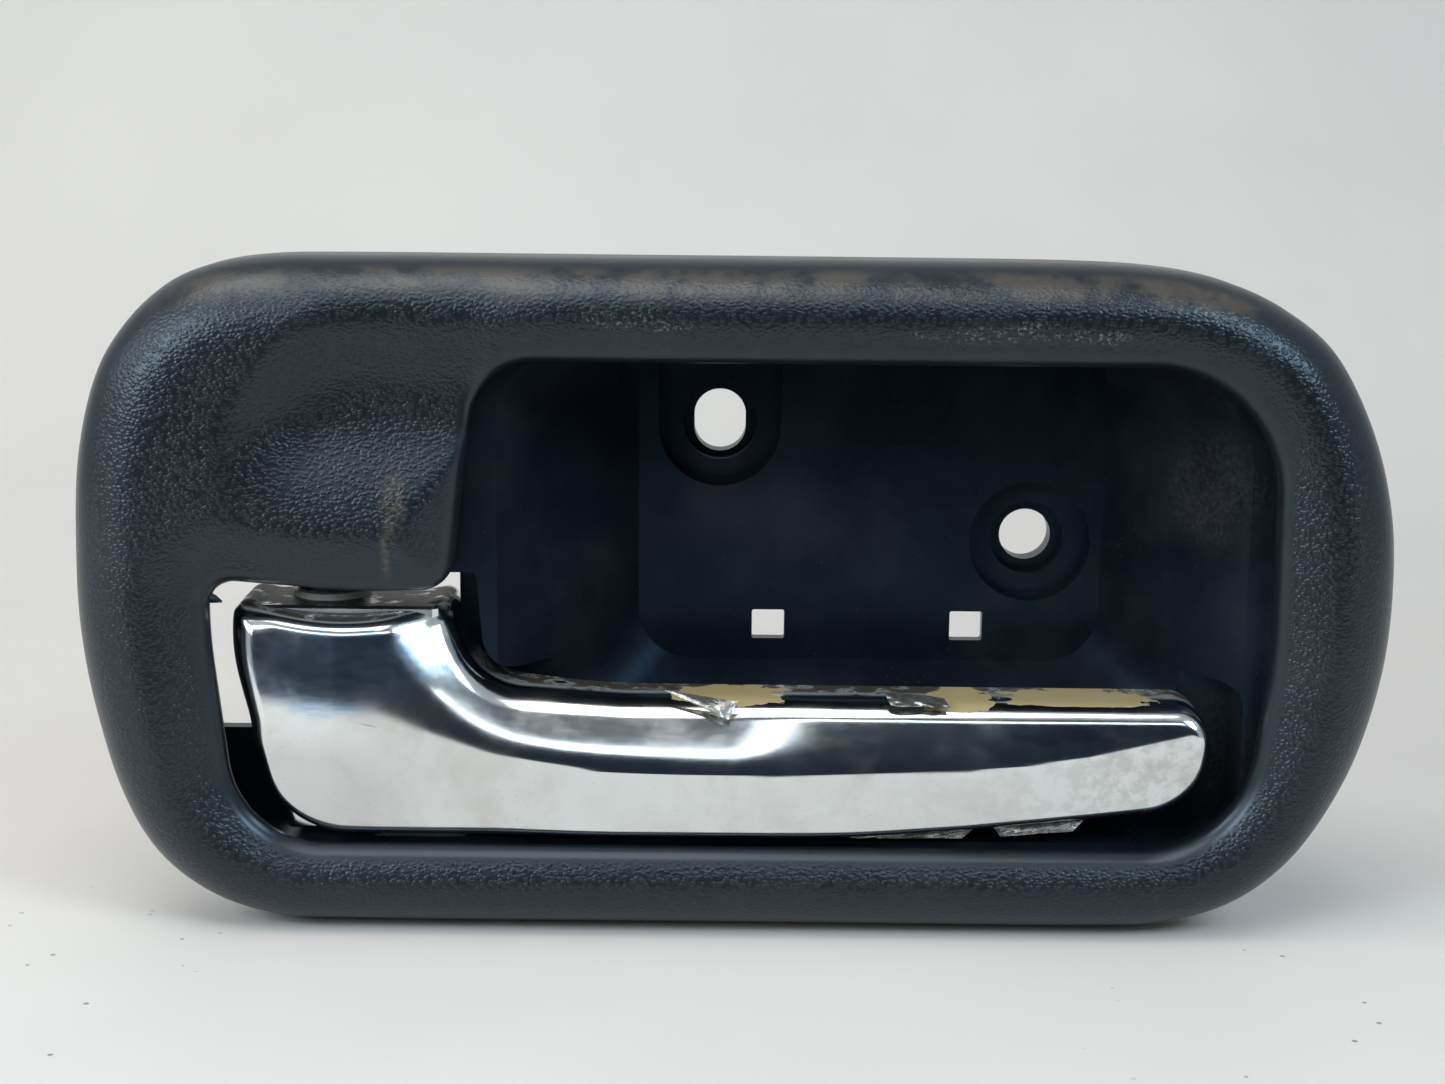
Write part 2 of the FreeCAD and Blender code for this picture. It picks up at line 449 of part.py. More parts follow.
def build_lever():
    """Plated lever: ridged grip, hollow hub box with two lugs, and the crank arm with its eye."""
    body = new_body("lever")
    sections = []
    for x, ridge_z, ridge_y, top_z, top_y, bottom_z, bottom_y in STATIONS:
        corners = [("lever_back", top_z), (top_y, top_z), (ridge_y, ridge_z), (bottom_y, bottom_z),
                   ("lever_back", bottom_z)]
        sections.append((str(x), lambda s, corners=corners: draw_polygon(s, corners)))
    loft(body, "ridge_form", "YZ_Plane", sections)

    def surround(sketch):
        """Everything outside the lever's front outline."""
        left, right, low, high = "lever_left - 10", "lever_right + 10", "lever_bottom - 10", "lever_top + 10"
        draw_polygon(sketch, [(left, high), (right, high), (right, low), (left, low)])
        draw_rounded(sketch, LEVER_OUTLINE)

    along_y(body, "outline_trim", "-bezel_depth - 2", "lever_back + 1", surround, cut=True)
    hub = [("lever_left + 0.6", "lever_top", "1.5"), ("neck_x - 1.2", "lever_top - 1.6", "2.5"),
           ("neck_x", "lever_bottom", "1"), ("lever_left + 4.6", "lever_bottom", "9"),
           ("lever_left", "lever_top - 6", "20")]
    along_y(body, "hub_box", "lever_back - 7", "hub_back", lambda s: draw_rounded(s, hub))
    along_y(body, "hub_hollow", "lever_back - 7.5", "hub_back + 0.5", lambda s: draw_rounded(s, [
        ("lever_left + hub_wall + 1", "lever_top - lug_thickness", "1"),
        ("neck_x - 1.2 - hub_wall", "lever_top - lug_thickness", "1"),
        ("neck_x - hub_wall", "lever_bottom + lug_thickness", "1"),
        ("lever_left + hub_wall + 4.6", "lever_bottom + lug_thickness", "6")]), cut=True)
    along_y(body, "left_relief", "pin_y + 1", "hub_back + 0.5", lambda s: draw_rounded(s, rounded_box(
        "lever_left - 1", "pin_x - ear_radius", "lever_bottom + lug_thickness",
        "lever_top - lug_thickness", "1")), cut=True)
    along_y(body, "grip_hollow", "grip_hollow_front", "lever_back + 0.5", lambda s: draw_rounded(s, [
        ("neck_x + 3", "grip_top - lever_shell - 1", "2"),
        ("lever_right - hollow_end", "grip_top - lever_shell - 1", "2"),
        ("lever_right - hollow_end", "lever_bottom + lever_shell", "3"),
        ("neck_x + 3", "lever_bottom + lever_shell", "2")]), cut=True)
    arm_low = "arm_top - arm_thickness"
    along_z(body, "web", arm_low, "arm_top", lambda s: draw_polygon(s, [
        ("lever_left + hub_wall - 0.5", "lever_back - 8"), ("neck_x - hub_wall + 0.5", "lever_back - 8"),
        ("neck_x - hub_wall + 0.5", "hub_back - 1"), ("pin_x + arm_width / 2", "hub_back + 5"),
        ("pin_x - arm_width / 2", "hub_back + 5"), ("lever_left + hub_wall - 0.5", "pin_y + 1")]))
    along_z(body, "arm", arm_low, "arm_top", lambda s: draw_polygon(s, [
        ("pin_x - arm_width / 2", "pin_y"), ("pin_x + arm_width / 2", "pin_y"),
        ("pin_x + arm_width / 2", "pin_y + arm_length"), ("pin_x - arm_width / 2", "pin_y + arm_length")]))
    along_z(body, "eye", arm_low, "arm_top",
            lambda s: draw_circle(s, "pin_x", "pin_y + arm_length", "eye_radius"))
    along_z(body, "lug_bores", "lever_bottom - 1", "lever_top + 1",
            lambda s: draw_circle(s, "pin_x", "pin_y", "pin_radius + running_gap + bush_wall"), cut=True)
    along_z(body, "eye_bore_cut", arm_low + " - 1", "arm_top + 1",
            lambda s: draw_circle(s, "pin_x", "pin_y + arm_length", "eye_bore"), cut=True)
    return body


def build_pin():
    """Steel pivot pin, headed at the top, grooved at the bottom for the retaining ring."""
    body = new_body("pivot_pin", "pin_x", "pin_y")
    top = "bay_top + ear_thickness"
    bottom = "mouth_bottom - ear_thickness"
    along_z(body, "pin_shank", bottom + " - pin_tail", top, lambda s: draw_circle(s, "0", "0", "pin_radius"))
    along_z(body, "pin_head", top, top + " + pin_head", lambda s: draw_circle(s, "0", "0", "pin_head_radius"))

    def groove_section(sketch):
        """The strip between the groove's floor and the shank's surface."""
        draw_circle(sketch, "0", "0", "pin_radius + 0.5")
        draw_circle(sketch, "0", "0", "pin_radius - ring_groove_depth")

    along_z(body, "pin_groove", bottom + " - ring_thickness - 0.2", bottom, groove_section, cut=True)
    return body


def build_ring():
    """Open retaining ring snapped into the pin's groove, under the lower ear."""
    body = new_body("pin_retaining_ring", "pin_x", "pin_y")
    high = "mouth_bottom - ear_thickness - 0.1"
    low = high + " - ring_thickness"

    def ring_section(sketch):
        draw_circle(sketch, "0", "0", "ring_radius")
        draw_circle(sketch, "0", "0", "pin_radius - ring_groove_depth + 0.02")

    along_z(body, "ring_disc", low, high, ring_section)
    along_z(body, "ring_gap", low + " - 0.5", high + " + 0.5", lambda s: draw_polygon(s, [
        ("-ring_mouth / 2", "0.4"), ("ring_mouth / 2", "0.4"), ("ring_mouth / 2", "ring_radius + 1"),
        ("-ring_mouth / 2", "ring_radius + 1")]), cut=True)
    return body


def build_bush(name, inner, flange_low, flange_high):
    """Flanged acetal bush pressed into a lever lug; it turns on the pin."""
    body = new_body(name, "pin_x", "pin_y")
    low, high = inner
    along_z(body, name + "_barrel", low, high,
            lambda s: draw_circle(s, "0", "0", "pin_radius + running_gap + bush_wall"))
    along_z(body, name + "_flange", flange_low, flange_high,
            lambda s: draw_circle(s, "0", "0", "bush_flange_radius"))
    along_z(body, name + "_bore", low + " - 2", high + " + 2",
            lambda s: draw_circle(s, "0", "0", "pin_radius + running_gap"), cut=True)
    return body


def build_spring():
    """Torsion spring round the pin: one leg on the lever's front wall, one on the housing side."""
    body = new_body("return_spring", "pin_x", "pin_y", "arm_top + end_gap + wire_radius")
    profile = sketch_on(body, "wire_section", "XZ_Plane", "0")
    draw_circle(profile, "spring_radius", "0", "wire_radius")
    doc.recompute()
    coil = body.newObject("PartDesign::AdditiveHelix", "coil")
    coil.Profile = profile
    coil.ReferenceAxis = (profile, ["V_Axis"])
    coil.Mode = "pitch-turns-angle"
    coil.setExpression("Pitch", bound("spring_pitch"))
    coil.setExpression("Turns", bound("spring_turns"))
    doc.recompute()
    along_y(body, "front_leg", "-spring_leg_front", "0",
            lambda s: draw_circle(s, "spring_radius", "0", "wire_radius"))
    along_y(body, "back_leg", "0", "spring_leg_back",
            lambda s: draw_circle(s, "spring_radius", "spring_pitch * spring_turns", "wire_radius"))
    return body


def build_rest_stop():
    """Rubber stop in the bay floor that the lever's tip rests against."""
    body = new_body("rest_bumper", "rest_stop_x", None, "rest_stop_z")
    along_y(body, "rest_head", "lever_back + end_gap", "bay_depth",
            lambda s: draw_circle(s, "0", "0", "stop_radius"))
    along_y(body, "rest_stem", "bay_depth", "bay_depth + cup_wall",
            lambda s: draw_circle(s, "0", "0", "stop_stem_radius"))
    along_y(body, "rest_bulb", "bay_depth + cup_wall", "bay_depth + cup_wall + stop_bulb_length",
            lambda s: draw_circle(s, "0", "0", "stop_stem_radius + stop_bulb"))
    return body


def build_open_stop():
    """Rubber stop on the bracket that the crank arm meets at full travel."""
    body = new_body("open_bumper", None, "open_stop_y", "arm_top - arm_thickness / 2")
    far = "bracket_left + bracket_thickness"
    along_x(body, "open_head", "open_stop_face", "bracket_left",
            lambda s: draw_circle(s, "0", "0", "stop_radius"))
    along_x(body, "open_stem", "bracket_left", far, lambda s: draw_circle(s, "0", "0", "stop_stem_radius"))
    along_x(body, "open_bulb", far, far + " + stop_bulb_length",
            lambda s: draw_circle(s, "0", "0", "stop_stem_radius + stop_bulb"))
    return body


def build_rod_clip():
    """Acetal clip that swivels in the arm's eye and grips the end of the latch rod."""
    body = new_body("rod_clip", "pin_x", "pin_y + arm_length")
    block_top = "arm_top - arm_thickness - end_gap"
    head_low = "arm_top + end_gap"
    block = rounded_box("-clip_length / 2", "clip_length / 2", "-clip_width / 2", "clip_width / 2", "1.2")
    along_z(body, "clip_block", block_top + " - clip_height", block_top, lambda s: draw_rounded(s, block))
    along_z(body, "clip_stem", block_top, head_low,
            lambda s: draw_circle(s, "0", "0", "eye_bore - clip_stem_gap"))
    along_z(body, "clip_head_disc", head_low, head_low + " + clip_head",
            lambda s: draw_circle(s, "0", "0", "clip_head_radius"))
    along_x(body, "rod_bore", "-clip_length / 2 - 1", "clip_length / 2 + 1",
            lambda s: draw_circle(s, "0", block_top + " - clip_height / 2", "rod_radius"), cut=True)
    return body


def build_screw(place):
    """Pan-head self-tapping screw with a cross recess, driven from behind into a bezel boss."""
    name = "housing_screw_" + place
    body = new_body(name, "screw_%s_x" % place, None, "screw_%s_z" % place)
    seat = "-(plate_front - plate_thickness)"
    along_y(body, name + "_shank", seat + " - screw_length", seat,
            lambda s: draw_circle(s, "0", "0", "screw_radius"))
    along_y(body, name + "_head", seat, seat + " + screw_head",
            lambda s: draw_circle(s, "0", "0", "screw_head_radius"))
    for arm, wide, tall in (("a", "cross_length", "cross_width"), ("b", "cross_width", "cross_length")):
        along_y(body, "%s_cross_%s" % (name, arm), seat + " + screw_head - cross_depth",
                seat + " + screw_head + 1", lambda s: draw_polygon(s, [
                    ("-%s / 2" % wide, "-%s / 2" % tall), ("%s / 2" % wide, "-%s / 2" % tall),
                    ("%s / 2" % wide, "%s / 2" % tall), ("-%s / 2" % wide, "%s / 2" % tall)]), cut=True)
    return body


parts = [build_bezel(), build_cup_housing(), build_lever(), build_pin(), build_ring()]
parts.append(build_bush("upper_bush", ("lever_top - lug_thickness", "lever_top"),
                        "lever_top", "lever_top + bush_flange"))
parts.append(build_bush("lower_bush", ("lever_bottom", "lever_bottom + lug_thickness"),
                        "lever_bottom - bush_flange", "lever_bottom"))
parts += [build_spring(), build_rest_stop(), build_open_stop(), build_rod_clip()]
parts += [build_screw(place) for place, _, _ in SCREWS]
doc.recompute()

faults = [o.Name for o in doc.Objects if "Invalid" in o.State or "Error" in o.State]
for part in parts:
    if part.Shape.isNull() or not part.Shape.isValid() or len(part.Shape.Solids) != 1:
        faults.append(part.Label)
if faults:
    raise ValueError("failed objects: " + ", ".join(faults))

os.makedirs("parts", exist_ok=True)
for part in parts:
    part.Shape.exportStep("parts/%s.step" % part.Label)
    box = part.Shape.optimalBoundingBox(False)
    print("%-26s %9.1f mm3  x %6.1f %6.1f  y %6.1f %6.1f  z %6.1f %6.1f" % (
        part.Label, part.Shape.Volume, box.XMin, box.XMax, box.YMin, box.YMax, box.ZMin, box.ZMax))
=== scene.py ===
# %% [markdown]
# # An inside door handle, in cells
# A car's inside door handle is a dark grained frame, a smooth black cup behind it and a plated lever.
# The CAD model fixes where everything is and how it moves. These cells add the surfaces a maker would
# fuss over: the domed frame with its rolled lip, the ridged lever, its worn plating, and the light.

# %% Load the frame
import json
import math

import bpy
import numpy as np
from mathutils import Matrix, Vector


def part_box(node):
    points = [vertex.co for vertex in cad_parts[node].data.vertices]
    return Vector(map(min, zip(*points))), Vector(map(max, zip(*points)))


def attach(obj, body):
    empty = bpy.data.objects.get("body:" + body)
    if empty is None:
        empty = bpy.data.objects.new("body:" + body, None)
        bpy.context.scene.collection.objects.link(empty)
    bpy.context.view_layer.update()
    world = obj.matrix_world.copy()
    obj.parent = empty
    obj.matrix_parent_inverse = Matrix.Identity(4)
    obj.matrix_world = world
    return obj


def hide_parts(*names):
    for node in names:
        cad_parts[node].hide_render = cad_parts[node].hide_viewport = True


MM = 0.001
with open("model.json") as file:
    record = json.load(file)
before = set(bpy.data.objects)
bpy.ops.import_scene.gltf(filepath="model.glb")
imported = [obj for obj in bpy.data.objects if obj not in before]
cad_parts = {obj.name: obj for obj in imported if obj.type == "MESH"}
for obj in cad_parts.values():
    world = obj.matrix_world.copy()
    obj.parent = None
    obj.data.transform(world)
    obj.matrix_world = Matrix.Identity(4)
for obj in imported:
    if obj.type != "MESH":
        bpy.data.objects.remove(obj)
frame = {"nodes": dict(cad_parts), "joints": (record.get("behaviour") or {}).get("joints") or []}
bpy.context.view_layer.update()

# %% [markdown]
# ## Outlines
# The frame, its opening and the lever are all outlines seen from the front, in x and z. A mould maker
# draws such an outline as corners with radii. The helper below turns corners into one evenly stepped
# loop, so that the surfaces that follow can be worked out as whole arrays.

# %% A loop from corners
ARC_STEPS, CURVE_STEPS = 40, 24


def rounded_loop(corners, count):
    """Steps evenly along straight runs and tangent arcs. Each corner is (x, z, radius) in millimetres."""
    points = np.array([c[:2] for c in corners], float)
    runs = []
    for i, (x, z, radius) in enumerate(corners):
        here = points[i]
        before = points[i - 1] - here
        after = points[(i + 1) % len(points)] - here
        before /= np.linalg.norm(before)
        after /= np.linalg.norm(after)
        half = math.acos(np.clip(before @ after, -1, 1)) / 2
        middle = before + after
        centre = here + middle / np.linalg.norm(middle) * radius / math.sin(half)
        start = here + before * radius / math.tan(half) - centre
        end = here + after * radius / math.tan(half) - centre
        first = math.atan2(start[1], start[0])
        turn = (math.atan2(end[1], end[0]) - first + math.pi) % (2 * math.pi) - math.pi
        angles = first + turn * np.linspace(0, 1, ARC_STEPS)
        runs.append(centre + radius * np.stack([np.cos(angles), np.sin(angles)], 1))
    path = np.concatenate(runs + [runs[0][:1]])
    return evenly(path, count)


def soft_curve(points, count, closed=False):
    """A smooth curve through points, at even steps. Between two points it is the cubic whose slope at
    each end is half the step from the point before to the point after (Catmull and Rom's rule)."""
    p = np.array(points, float)
    if closed:
        p = np.concatenate([p[-1:], p, p[:2]])
    else:
        p = np.concatenate([2 * p[:1] - p[1:2], p, 2 * p[-1:] - p[-2:-1]])
    t = np.linspace(0, 1, CURVE_STEPS, endpoint=False)[:, None]
    spans = []
    for a, b, c, d in zip(p, p[1:], p[2:], p[3:]):
        spans.append(0.5 * (2 * b + (c - a) * t + (2 * a - 5 * b + 4 * c - d) * t ** 2
                            + (3 * b - a - 3 * c + d) * t ** 3))
    return evenly(np.concatenate(spans + [p[-2:-1]]), count, closed)


def evenly(path, count, closed=True):
    """Points at equal steps of arc length along a polyline."""
    length = np.concatenate([[0], np.cumsum(np.linalg.norm(np.diff(path, axis=0), axis=1))])
    steps = np.linspace(0, length[-1], count, endpoint=not closed)
    return np.stack([np.interp(steps, length, path[:, k]) for k in range(2)], 1)


def close_loop(loop):
    """A loop with its first point again at the end, so that its last step is measured too."""
    return np.concatenate([loop, loop[:1]])


def outward(loop):
    """Unit normals of a clockwise loop, pointing out of it."""
    along = np.roll(loop, -1, 0) - np.roll(loop, 1, 0)
    normal = np.stack([-along[:, 1], along[:, 0]], 1)
    return normal / np.linalg.norm(normal, axis=1, keepdims=True)


def distance_to(points, path):
    """Distance from each point of an array to a polyline, and the place along it that is nearest.
    Each step is measured against all the points at once, and the nearest so far is kept."""
    a, b = path[:-1], path[1:]
    d = b - a
    flat = points.reshape(-1, 2)
    best = np.full(len(flat), 1e9)
    where = np.zeros(len(flat))
    for k in range(len(a)):
        t = np.clip(((flat - a[k]) @ d[k]) / max(d[k] @ d[k], 1e-12), 0, 1)
        gap = np.linalg.norm(flat - a[k] - t[:, None] * d[k], axis=1)
        closer = gap < best
        best = np.where(closer, gap, best)
        where = np.where(closer, k + t, where)
    return best.reshape(points.shape[:-1]), where.reshape(points.shape[:-1])


def smoothstep(t):
    """Rises from 0 to 1 with level ends: three t squared less two t cubed."""
    t = np.clip(t, 0, 1)
    return t * t * (3 - 2 * t)


def smooth_max(a, b, width):
    """The larger of two values, rounded where they cross: half of their sum and of the square root of
    their difference squared plus the width squared."""
    return 0.5 * (a + b + np.sqrt((a - b) ** 2 + width ** 2))


def roll_off(distance, radius):
    """How far a quarter-round edge has dropped, at a distance in from the edge: the radius less the
    square root of the radius squared less the rest of the way in squared."""
    inside = np.clip(radius - distance, 0, radius)
    return radius - np.sqrt(np.maximum(radius ** 2 - inside ** 2, 0))


# %% [markdown]
# ## Surfaces from grids
# Every surface below is a grid of points, worked out as one array. A row closes on itself where the
# piece is a ring, and the rows close on each other where the section is a closed strip.

# %% A surface from a grid
def grid_piece(name, grid, sharp, closed_u=True, closed_v=False, flip=False):
    """Makes a mesh from an array of points (rows, columns, 3) in millimetres. Rows close on themselves
    with closed_u and on each other with closed_v. Edges sharper than sharp degrees stay crisp."""
    rows, columns = grid.shape[:2]
    index = np.arange(rows * columns).reshape(rows, columns)
    i = index if closed_v else index[:-1]
    j = np.roll(index, -1, 0) if closed_v else index[1:]
    if closed_u:
        quads = np.stack([i, np.roll(i, -1, 1), np.roll(j, -1, 1), j], -1)
    else:
        quads = np.stack([i[:, :-1], i[:, 1:], j[:, 1:], j[:, :-1]], -1)
    quads = quads.reshape(-1, 4)
    if flip:
        quads = quads[:, ::-1]
    return mesh_piece(name, grid.reshape(-1, 3), quads, sharp)


def mesh_piece(name, points, faces, sharp):
    """A mesh object at the origin from points in millimetres, shaded smooth by angle. Doubled points, as
    at a seam or a spine, are merged, and faces that shrink to nothing go."""
    _, first, inverse = np.unique(np.round(points, 4), axis=0, return_index=True, return_inverse=True)
    inverse = inverse.reshape(-1)
    clean = []
    for face in inverse[np.asarray(faces)].tolist():
        ring = [v for k, v in enumerate(face) if v != face[k - 1]]
        if len(set(ring)) >= 3:
            clean.append(ring)
    mesh = bpy.data.meshes.new(name)
    mesh.from_pydata((points[first] * MM).tolist(), [], clean)
    mesh.update()
    mesh.polygons.foreach_set("use_smooth", [True] * len(mesh.polygons))
    mesh.set_sharp_from_angle(angle=math.radians(sharp))
    piece = bpy.data.objects.new(name, mesh)
    bpy.context.collection.objects.link(piece)
    print(name, len(mesh.vertices), "points", len(mesh.polygons), "faces")
    return piece


# %% [markdown]
# ## The frame
# The grained frame is a moulding about 2.4 mm thick: a domed rim, a shallow thumb dish at upper left and
# a thin rolled lip round an L-shaped opening. It could be a swept section, but the section changes all
# the way round, so it is made as a height over the flat shape instead. The height depends on the
# distance in from the outer edge, the distance in from the opening, and how far into the dish a place is.

# %% Frame outlines
low = np.array(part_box("bezel")[0]) / MM
RIM_DEPTH = -low[1]
RIM_WALL, DOME_RADIUS = 2.4, 9.5
FRAME_OUTLINE = [
    (-82.9, 3.8), (-82.2, 17.0), (-79.6, 27.6), (-75.6, 34.2), (-70.6, 38.8), (-65.4, 41.2), (-58.6, 42.4),
    (-48, 42.7), (-17, 42.7), (15, 42.7), (40, 42.6), (52, 42.0), (60.2, 40.4), (67.4, 37.2), (73.9, 32.0),
    (78.8, 23.4), (81.8, 14.0), (82.9, 4.2), (82.4, -7.5), (79.6, -19.4), (75.0, -29.0), (70.1, -35.2),
    (63.9, -39.6), (56.1, -42.0), (46, -42.7), (5, -42.7), (-49, -42.7), (-59.6, -42.0), (-67.8, -38.9),
    (-74.2, -33.3), (-78.4, -25.2), (-81.2, -14.6), (-82.6, -5.4)]
OPENING_CORNERS = [
    (-32.0, 30.2, 8), (66.6, 30.2, 16), (67.4, -6, 60), (64.2, -31.7, 14), (-62.6, -31.7, 12),
    (-65.7, -4, 60), (-65.5, 2.6, 3.2), (-47, 1.2, 60), (-35.4, 1.6, 4.4)]
LOOP_POINTS, MEASURE_EVERY = 1600, 5
outer = soft_curve(FRAME_OUTLINE, LOOP_POINTS, closed=True)
inner = rounded_loop(OPENING_CORNERS, LOOP_POINTS)

# %% [markdown]
# The two outlines are different shapes, so their points don't pair up by themselves. A few marks say
# which place on the outer edge faces which place on the opening, and even steps fill in between.

# %% Match the two outlines
FACING = [
    ((15, 42.7), (15, 30.2)), ((73, 33), (61, 26.5)), ((83, 0), (67, 0)), ((74, -33), (60, -28)),
    ((5, -42.7), (5, -31.7)), ((-73, -33), (-59, -28.5)), ((-83, 0), (-65.2, -6)),
    ((-82, 16), (-64, 2.2)), ((-76, 34), (-36, 2.0)), ((-44, 42.7), (-30.5, 28.3))]
SPOKES = 660


def facing_points(loop, marks, counts):
    """Walks a loop from mark to mark, with a set number of even steps between each two."""
    starts = [int(np.argmin(np.linalg.norm(loop - np.array(m), axis=1))) for m in marks]
    out = []
    for k, count in enumerate(counts):
        a, b = starts[k], starts[(k + 1) % len(starts)]
        span = (b - a) % len(loop)
        places = a + span * np.arange(count) / count
        base = places.astype(int)
        part = (places - base)[:, None]
        out.append(loop[base % len(loop)] * (1 - part) + loop[(base + 1) % len(loop)] * part)
    return np.concatenate(out)


FEWEST_STEPS = 8
mark_pairs = np.array(FACING, float)
longest = np.linalg.norm(np.roll(mark_pairs, -1, 0) - mark_pairs, axis=2).max(1)
counts = [max(FEWEST_STEPS, round(SPOKES * n / sum(longest))) for n in longest]
rim_out = facing_points(outer, [p[0] for p in FACING], counts)
rim_in = facing_points(inner, [p[1] for p in FACING], counts)
print("spokes", len(rim_out))

# %% [markdown]
# The section is a quarter round at the outer edge, nearly level on top, then falls towards the lip. A
# thumb sinks into the dish at upper left, which a mould maker would cut with a large ball end. The two
# dips run into each other, so only the deeper one counts at each point.

# %% Height of the frame
LIP_DROP, LIP_REACH, LIP_RADIUS, LIP_POWER = 3.9, 9.5, 1.2, 1.7
DISH_DEPTH, DISH_REACH = 4.3, 13.0
DISH_MIDDLE_Z, DISH_LEVEL, DISH_SPREAD = 25, 1, 9.5
DISH_END_X, DISH_FADE = -20, 14
DIP_BLEND, DIP_LIFT = 0.25, 0.12
DISH_EDGE = [(-48, 40), (-51.9, 37), (-57.5, 30), (-62.1, 22), (-63.9, 12), (-62.9, 5), (-61, -4)]
dish_edge = soft_curve(DISH_EDGE, 60)
coarse_out, coarse_in = close_loop(outer[::MEASURE_EVERY]), close_loop(inner[::MEASURE_EVERY])


def frame_height(points, inset=0.0, dome=DOME_RADIUS, roll=True):
    """Depth in front of the seat: a quarter-round dome from the outer edge, less the deeper of two dips,
    a scoop for the thumb at upper left and the slope that grows towards the lip."""
    from_edge = distance_to(points, coarse_out)[0] - inset
    from_lip = distance_to(points, coarse_in)[0]
    edge_x = np.interp(-points[..., 1], -dish_edge[:, 1], dish_edge[:, 0])
    beyond = np.clip((points[..., 0] - edge_x) / DISH_REACH, 0, 1)
    off_middle = np.clip(np.abs(points[..., 1] - DISH_MIDDLE_Z) - DISH_LEVEL, 0, None)
    bowl = np.exp(-(off_middle / DISH_SPREAD) ** 2)
    fade = smoothstep((DISH_END_X - points[..., 0]) / DISH_FADE)
    dish = DISH_DEPTH * bowl * beyond * (2 - beyond) * fade
    slope = LIP_DROP * np.clip(1 - from_lip / LIP_REACH, 0, 1) ** LIP_POWER
    dip = smooth_max(dish, slope, DIP_BLEND)
    height = RIM_DEPTH - inset - roll_off(np.maximum(from_edge, 0), dome) - dip + DIP_LIFT
    if roll:
        height = height - roll_off(from_lip, LIP_RADIUS)
    return height


# %% [markdown]
# The moulding is hollow behind, as every such trim is, so the skin goes over the front, round the lip,
# back along the inside of the wall and out to the edge that sits on the door. It is one closed strip.

# %% Build the frame
LIP_BACK, LIP_WALL = 8.6, 1.5
FRONT_ROWS, BACK_ROWS, EDGE_ROWS, SEAT_ROWS = 54, 20, 4, 2
rows = 0.5 - 0.5 * np.cos(np.linspace(0, math.pi, FRONT_ROWS))
front_xz = rim_out[None] * (1 - rows[:, None, None]) + rim_in[None] * rows[:, None, None]
front_y = -frame_height(front_xz)
skin_out = rim_out - outward(rim_out) * RIM_WALL
skin_in = rim_in + outward(rim_in) * LIP_WALL
back_rows = np.linspace(0, 1, BACK_ROWS)
back_xz = skin_in[None] * (1 - back_rows[:, None, None]) + skin_out[None] * back_rows[:, None, None]
back_y = -frame_height(back_xz, inset=RIM_WALL, dome=DOME_RADIUS - RIM_WALL, roll=False)


def wall_rows(loop, y_from, y_to, count):
    """Straight wall rows of a loop between two depths, ends left out."""
    part = np.linspace(0, 1, count + 2)[1:-1, None]
    y = y_from * (1 - part) + y_to * part
    return np.concatenate([np.broadcast_to(loop[None], (count,) + loop.shape), y[..., None]], -1)


def with_y(xz, y):
    """Points seen from the front, given their depth as a third column."""
    return np.concatenate([xz, np.broadcast_to(y, xz.shape[:-1])[..., None]], -1)


seat = np.zeros(len(rim_out))
lip_end = np.full(len(rim_out), -LIP_BACK)
profile = np.concatenate([
    with_y(rim_out, seat)[None], wall_rows(rim_out, seat, front_y[0], EDGE_ROWS),
    with_y(front_xz, front_y),
    with_y(rim_in, lip_end)[None], with_y(skin_in, lip_end)[None], with_y(back_xz, back_y),
    wall_rows(skin_out, back_y[-1], seat, SEAT_ROWS), with_y(skin_out, seat)[None]])
bezel = grid_piece("bezel_moulding", profile[..., [0, 2, 1]], closed_v=True, sharp=50)
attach(bezel, "case")
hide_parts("bezel")

# %% [markdown]
# ## The lever
# The lever is a plated moulding with one long crease. Below the crease the face tips down and mirrors
# the bench, above it the face tips up and mirrors the light, and the crease itself mirrors the dark
# room. So the shape is given as two faces, and the surface is whichever lies further back, softened
# where they meet. The mesh is drawn in from the outline to a spine, so that no face is badly stretched.

# %% Lever outline, crease and spine
LEVER_CORNERS = [
    (-63.5, -0.6, 2.0), (-50, -3.4, 40), (-36.5, -0.9, 1.7), (-32.4, -11.6, 9), (-14, -12.8, 60),
    (60.7, -12.9, 4.2), (59.4, -26.8, 8), (15, -30.6, 140), (-57.6, -31.0, 11), (-63.7, -7, 25)]
CREASE = [
    (-43.4, 4), (-43.4, -4), (-41.2, -8.4), (-37.6, -12.6), (-31.2, -16.9), (-21.7, -19.2), (-4, -20.3),
    (14.7, -20.2), (33.5, -19.3), (46, -17.2), (57, -14.2), (66, -11.2)]
SPINE = [
    (-54, -15), (-46, -15.5), (-36, -18.5), (-20, -21), (5, -21.5), (30, -20.5), (45, -19.5), (53, -19)]
crease = soft_curve(CREASE, 160)
spine = soft_curve(SPINE, 200)
lever_loop = rounded_loop(LEVER_CORNERS, 620)
lever_edge = close_loop(rounded_loop(LEVER_CORNERS, 420))

# %% [markdown]
# The lower face is a long roof: level at its ridge and sloping away on both sides. At the hub the roof
# is broad and soft, and along the grip it is tight. The upper facet hangs from the crease and tips back
# more at the hub than at the tip, which is what makes its band of reflection narrow towards the tip.

# %% Lever height
FACE_CROWN, CREASE_STEP, CREASE_BLEND = 0.011, 0.15, 0.5
EDGE_RADIUS, HUB_EDGE_EXTRA, GRIP_EDGE_EXTRA = 1.3, 1.5, 0.9


